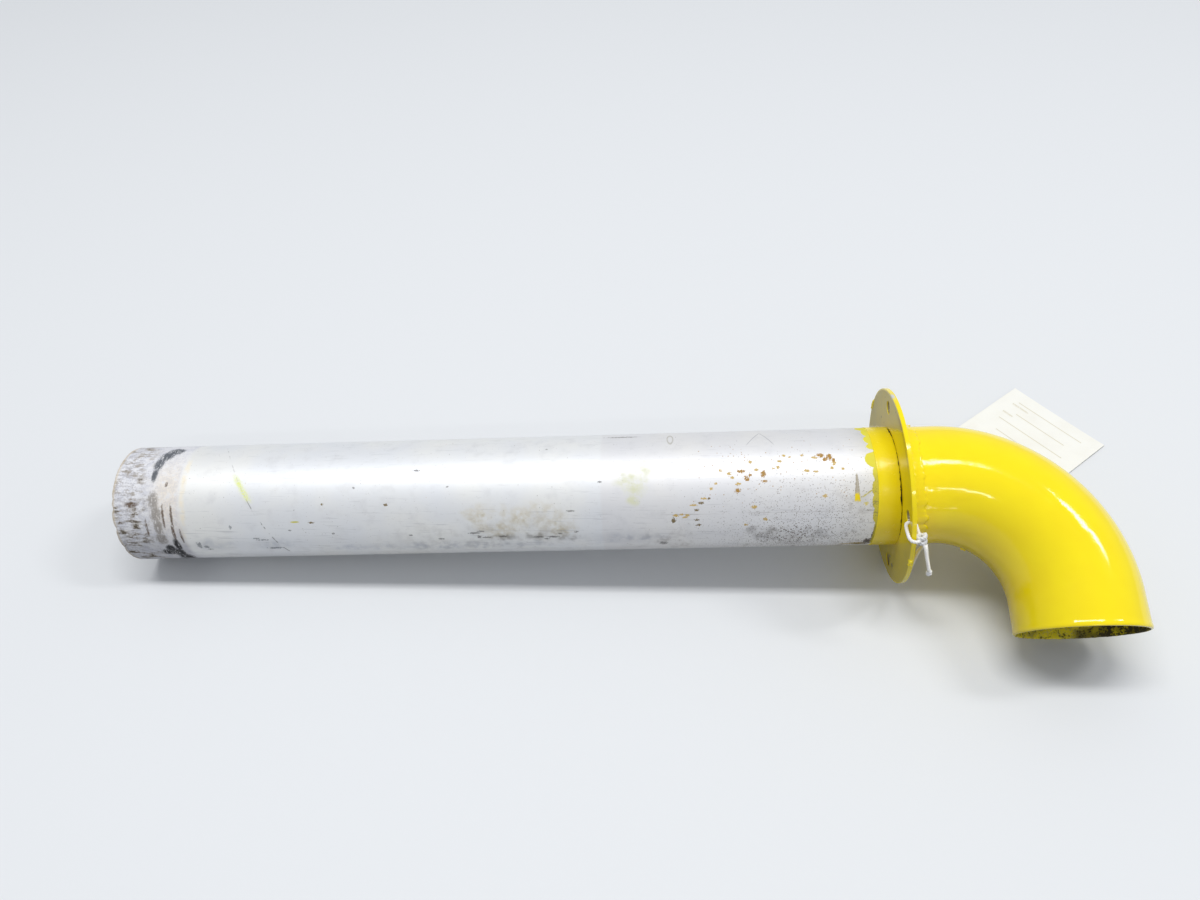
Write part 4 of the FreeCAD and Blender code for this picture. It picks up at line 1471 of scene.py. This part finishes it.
@dataclass
class TiedString:
    """The twisted string, its knot and its two ends."""

    diameter: float = 0.0013
    plies: int = 3
    lay_length: float = 0.0034
    ply_share: float = 0.70
    lay_share: float = 0.58
    spacing: float = 0.00028
    sides: int = 10
    knot_place: tuple[float, float, float] = (0.0045, -0.0438, 0.0624)
    knot_axis: tuple[float, float, float] = (0.15, -0.35, -1.0)
    knot_radius: float = 0.0020
    end_place: tuple[float, float, float] = (0.0097, -0.0518, 0.0478)
    end_radius: float = 0.0007
    knot_steps: int = 8

    def curve(self, name: str, route: Iterable[Sequence[float]]) -> Object:
        """Make a smooth curve along a route, which is given from the flange's foot."""
        line = bpy.data.curves.new(name, "CURVE")
        line.dimensions = "3D"
        spline = line.splines.new("NURBS")
        points = [Vector(point) + FLANGE_FOOT * MM for point in route]
        spline.points.add(len(points) - 1)
        for control, point in zip(spline.points, points):
            control.co = (*point, 1.0)
        spline.order_u = 3
        spline.resolution_u = 10
        spline.use_endpoint_u = True
        return shown(name, line)

    def tree(self, material: Material) -> TreeBuilder:
        """Tree that winds the plies along a curve."""
        tree = TreeBuilder("twisted_plies")
        ply, lay, pitch, spacing = (
            tree.size(name) for name in ("Ply Radius", "Lay Radius", "Lay Length", "Spacing")
        )
        sides = tree.size("Sides", "NodeSocketInt")
        route = {"Curve": tree.source.outputs[0], "Length": spacing}
        line = tree.node("GeometryNodeResampleCurve", route, mode="LENGTH")
        length = tree.node("GeometryNodeSplineParameter").outputs["Length"]
        tangent = tree.node("GeometryNodeInputTangent").outputs[0]
        normal = tree.node("GeometryNodeInputNormal").outputs[0]
        side = tree.vector("CROSS_PRODUCT", {0: tangent, 1: normal})
        whole = tree.sum("MULTIPLY", tree.sum("DIVIDE", length, pitch), 2 * math.pi)
        section = tree.node("GeometryNodeCurvePrimitiveCircle", {"Resolution": sides, "Radius": ply})
        joined = tree.node("GeometryNodeJoinGeometry")
        for number in range(self.plies):
            angle = tree.sum("ADD", whole, 2 * math.pi * number / self.plies)
            out, over = (
                tree.vector("SCALE", {0: way, "Scale": tree.sum("MULTIPLY", tree.sum(part, angle), lay)})
                for way, part in ((normal, "COSINE"), (side, "SINE"))
            )
            inputs = {"Geometry": line.outputs[0], "Offset": tree.vector("ADD", {0: out, 1: over})}
            moved = tree.node("GeometryNodeSetPosition", inputs)
            inputs = {"Curve": moved.outputs[0], "Profile Curve": section.outputs[0], "Fill Caps": True}
            tube = tree.node("GeometryNodeCurveToMesh", inputs)
            tree.tree.links.new(tube.outputs[0], joined.inputs[0])
        tree.close(joined.outputs[0], material)
        return tree

    def twist(self, tree: TreeBuilder, line: Object, name: str) -> Object:
        """Wind the plies along a curve and keep them as a mesh."""
        radius = self.diameter / 2
        values = {
            "Ply Radius": radius * self.ply_share,
            "Lay Radius": radius * self.lay_share,
            "Lay Length": self.lay_length,
            "Spacing": self.spacing,
            "Sides": self.sides,
        }
        return tree.apply(line, values, name)

    def knot_wraps(self, place: Sequence[float], radius: float, turns: float, rise: float) -> list[Vector]:
        """Control points of a knot whose string is wrapped round itself.

        Args:
            place: Its middle, from the flange's foot.
            radius: Radius of its wraps.
            turns: How many there are.
            rise: Distance from wrap to wrap.

        Returns:
            Points of the wrapped string.
        """
        turned = Vector(self.knot_axis).to_track_quat("Z", "Y")
        points = []
        steps = round(turns * self.knot_steps)
        for step in range(steps + 1):
            angle = 2 * math.pi * step / self.knot_steps
            along = (step / steps - 0.5) * turns * rise
            lean = 0.25 * radius * math.sin(angle * 0.5)
            wrap = Vector((radius * math.cos(angle), radius * math.sin(angle), along + lean))
            points.append(Vector(place) + turned @ wrap)
        inwards = turned @ Vector((0, 0, 0.8 * radius))
        points.insert(0, points[0].lerp(Vector(place), 0.7) - inwards * 0.4)
        points.append(points[-1].lerp(Vector(place), 0.7) + inwards * 0.4)
        return points

    def build(self) -> list[Object]:
        tree = self.tree(Cotton().material())
        plans = (("tied_string", STRING_ROUTE, "tag_string"), ("tied_string_end", END_ROUTE, "string_end"))
        pieces, paths = [], {}
        for name, route, node in plans:
            line = self.curve(name + "_line", route)
            mesh = plain_mesh(line)
            paths[name] = [tuple(vertex.co) for vertex in mesh.vertices]
            bpy.data.meshes.remove(mesh)
            pieces.append(ride(self.twist(tree, line, name), Slot.COTTON, node))
        ties = ((self.knot_place, self.knot_radius, 3.4), (self.end_place, self.end_radius, 1.6))
        knots = []
        for place, radius, turns in ties:
            line = self.curve("knot_line", self.knot_wraps(place, radius, turns, self.diameter))
            knots.append(self.twist(tree, line, "knot_part"))
        made = join(knots, "tied_knots")
        pieces.append(ride(made, Slot.COTTON, "string_knots"))
        for piece, ending in zip(pieces[:2], ("knot", "bare")):
            [made] if ending == "knot" else []
        return pieces


def join(parts: Sequence[Object], name: str) -> Object:
    """Join meshes that share one material into one piece."""
    points: list[Vector] = []
    faces: list[tuple[int, ...]] = []
    for part in parts:
        start = len(points)
        points.extend(vertex.co.copy() for vertex in part.data.vertices)
        faces.extend(tuple(start + v for v in polygon.vertices) for polygon in part.data.polygons)
    mesh = new_mesh(name, points, faces, parts[0].data.materials[0])
    for part in parts:
        bpy.data.objects.remove(part)
    return shown(name, mesh)


def free_edges(faces: Iterable[Sequence[int]]) -> list[tuple[int, ...]]:
    """Edges that only one face has, each in the direction of its face."""
    edges: dict[frozenset[int], tuple[int, ...]] = {}
    for face in faces:
        for one, two in zip(face, (*face[1:], face[0])):
            key = frozenset((one, two))
            edges[key] = () if key in edges else (one, two)
    return [edge for edge in edges.values() if edge]


@dataclass
class PartsTag:
    """The card tag with its reinforcing patch. Sizes in millimetres."""

    width: float = 60.3
    length: float = 120.65
    thickness: float = 0.4
    corner: float = 14.0
    hole: float = 5.2
    inset: float = 11.0
    patch: float = 17.5
    patch_thickness: float = 0.3
    lift: float = 1.55
    turn: float = 218.5
    eyelet_end: tuple[float, float] = (34.4, 20.1)
    rows: int = 90
    columns: int = 46
    around: int = 72

    def place(self) -> Matrix:
        """Matrix from the card's own frame to the row's, in millimetres."""
        slope = math.asin(self.lift / self.length)
        turn = math.radians(self.turn)
        flat = self.length * math.cos(slope)
        start = FLANGE_FOOT + Vector(
            (self.eyelet_end[0] - flat * math.cos(turn), self.eyelet_end[1] - flat * math.sin(turn), 0)
        )
        return Matrix.Translation(start) @ Matrix.Rotation(turn, 4, "Z") @ Matrix.Rotation(-slope, 4, "Y")

    def curl(self, along: float, across: float) -> float:
        """How far the card has lifted off its flat: its plain corners curl a little."""
        free = smooth_step(-along, -46.0, 0.0)
        side = abs(across) / (self.width / 2)
        return 0.35 * free ** 2 * side ** 3 + 0.3 * free * bell(along - 18, 14)

    def card(self) -> Object:
        """Make the card as a grid that follows its outline, with a round hole."""
        centre = Vector((self.length - self.inset, 0))
        across = self.columns + 1
        points: list[Vector] = []
        for row in range(self.rows + 1):
            along = self.length * row / self.rows
            reach = self.width / 2 - max(0.0, along - (self.length - self.corner))
            for column in range(across):
                points.append(Vector((along, reach * (2 * column / self.columns - 1), 0)))
        kept = []
        for row in range(self.rows):
            for column in range(self.columns):
                first = row * across + column
                corners = [first, first + across, first + across + 1, first + 1]
                middle = sum((points[c] for c in corners), Vector((0, 0, 0))) / 4
                if (middle.xy - centre).length > self.hole / 2 + 0.9:
                    kept.append(corners)
        self.round_hole(points, kept, centre)
        return self.thick(points, kept)

    def round_hole(self, points: list[Vector], kept: list[list[int]], centre: Vector) -> None:
        """Close the gap round the hole with a ring of faces out to the hole's circle."""
        near = self.hole + 3
        after = {two: one for one, two in free_edges(kept) if (points[one].xy - centre).length < near}
        inner: dict[int, int] = {}
        for one in after:
            way = (points[one].xy - centre).normalized() * (self.hole / 2)
            inner[one] = len(points)
            points.append(Vector((centre.x + way.x, centre.y + way.y, 0)))
        kept += [[one, two, inner[two], inner[one]] for one, two in after.items()]

    def thick(self, points: Sequence[Vector], faces: Sequence[Sequence[int]]) -> Object:
        """Give a flat sheet its curl and thickness, and put it in place."""
        place = self.place()
        count = len(points)
        solid = []
        for level in (0.0, self.thickness):
            for point in points:
                lifted = Vector((point.x, point.y, self.curl(point.x, point.y) + level))
                solid.append((place @ lifted) * MM)
        polygons = [tuple(face) for face in faces]
        polygons += [tuple(count + corner for corner in reversed(face)) for face in faces]
        polygons += [(two, one, one + count, two + count) for one, two in free_edges(faces)]
        mesh = new_mesh("card_tag", solid, polygons, RuledCard().material(place.inverted()))
        mesh.polygons.foreach_set("use_smooth", [False] * len(polygons))
        made = shown("card_tag", mesh)
        outwards(made)
        return made

    def ring(self) -> Object:
        """Make the patch round the hole, with a pressed edge."""
        place = self.place()
        inner, outer = self.hole / 2 - 0.15, self.patch / 2
        top = self.thickness + self.patch_thickness
        profile = ((inner, 0.35), (inner, top - 0.05), (inner + 0.2, top + 0.06), (inner + 1.2, top),
                   (outer - 0.9, top), (outer - 0.15, top - 0.08), (outer, self.thickness))
        middle = self.length - self.inset
        rings = []
        for radius, height in profile:
            ring = []
            for step in range(self.around):
                turn = 2 * math.pi * step / self.around
                point = Vector((middle + radius * math.cos(turn), radius * math.sin(turn), height))
                ring.append((place @ point) * MM)
            rings.append(ring)
        return ring_mesh("card_patch", rings, [Fibreboard().material()])

    def build(self) -> list[Object]:
        """Make the card and its patch."""
        card = ride(self.card(), Slot.CARD, "parts_tag")
        return [card, ride(self.ring(), Slot.PATCH, "tag_patch")]


@dataclass(frozen=True)
class SoftLight:
    """A soft lamp: its place and size, in metres, its brightness, and whether it faces straight down."""

    name: str
    place: tuple[float, float, float]
    size: tuple[float, float]
    brightness: float
    faces_down: bool = True


@dataclass
class Studio:
    """Pale floor, soft lamps and the camera."""

    camera_place: tuple[float, float, float] = (0.007211, -0.278882, 0.392918)
    camera_turn: tuple[float, float, float] = (42.6141, 0.9295, 1.4033)
    lens: float = 27.622
    sensor: float = 36.0
    nearest: float = 0.01
    floor_seen: Colour = srgb(226, 228, 230)
    floor_shade: Colour = srgb(120, 121, 124)
    world_light: float = 0.50
    world_colour: Colour = srgb(236, 240, 246)
    floor_half: float = 6.0
    aim: tuple[float, float, float] = (0.05, 0.0, 0.03)
    lamps: tuple[SoftLight, ...] = (
        SoftLight("lamp_over", (-0.20, 0.08, 2.2), (1.90, 0.27), 17.5),
        SoftLight("lamp_right", (1.85, 0.27, 2.2), (0.90, 0.28), 20.0),
        SoftLight("lamp_front", (0.50, -2.40, 2.2), (1.1, 0.08), 26.0),
        SoftLight("lamp_low", (0.76, -2.6, 0.27), (0.3, 0.07), 6.0, False),
    )

    def camera(self) -> None:
        """Make the camera."""
        data = bpy.data.cameras.new("camera")
        data.lens = self.lens
        data.sensor_width = self.sensor
        data.clip_start = self.nearest
        made = shown("camera", data)
        made.location = self.camera_place
        made.rotation_euler = Euler([math.radians(angle) for angle in self.camera_turn], "XYZ")
        bpy.context.scene.camera = made

    def floor(self) -> None:
        """Make the floor, which the camera sees a little paler than the lamps light it."""
        shader = Shader("floor")
        rays = shader.node("ShaderNodeLightPath")
        seen = Signal(shader, rays.outputs["Is Camera Ray"])
        for kind in ("Is Glossy Ray", "Is Transmission Ray"):
            seen = seen.most(Signal(shader, rays.outputs[kind]))
        colour = shader.mix(seen, self.floor_shade, self.floor_seen)
        half = self.floor_half
        points = [(-half, -half, 0), (half, -half, 0), (half, half, 0), (-half, half, 0)]
        shown("floor", new_mesh("floor", points, [(0, 1, 2, 3)], shader.finish(colour, 0.7)))

    def light(self) -> None:
        """Make the lamps and the world."""
        for lamp in self.lamps:
            data = bpy.data.lights.new(lamp.name, "AREA")
            data.shape = "RECTANGLE"
            data.size, data.size_y = lamp.size
            data.energy = lamp.brightness * math.pi * lamp.size[0] * lamp.size[1]
            made = shown(lamp.name, data)
            made.location = lamp.place
            if not lamp.faces_down:
                towards = Vector(self.aim) - Vector(lamp.place)
                made.rotation_euler = towards.to_track_quat("-Z", "Y").to_euler()
        world = bpy.data.worlds.new("studio")
        world.use_nodes = True
        background = world.node_tree.nodes["Background"]
        background.inputs["Color"].default_value = (*self.world_colour, 1.0)
        background.inputs["Strength"].default_value = self.world_light
        bpy.context.scene.world = world

    def build(self) -> None:
        """Make the floor and the lamps, and keep colours as they are written."""
        self.floor()
        self.light()
        bpy.context.scene.view_settings.view_transform = "Standard"


def corners(box: Sequence[Sequence[float]]) -> list[list[float]]:
    """Corners of a box as plain lists."""
    return [[float(value) for value in corner] for corner in box]


def main() -> None:
    """Build every piece in order."""
    logging.basicConfig(level=logging.INFO)
    studio = Studio()
    studio.camera()
    TiedString().build()
    StraightTube().build()
    elbow = Elbow()
    elbow.build()
    Flange().dress()
    WeldBead().build()
    PaintCollar().build()
    PaintDrops(elbow).build()
    PartsTag().build()
    studio.build()


if __name__ == "__main__":
    main()
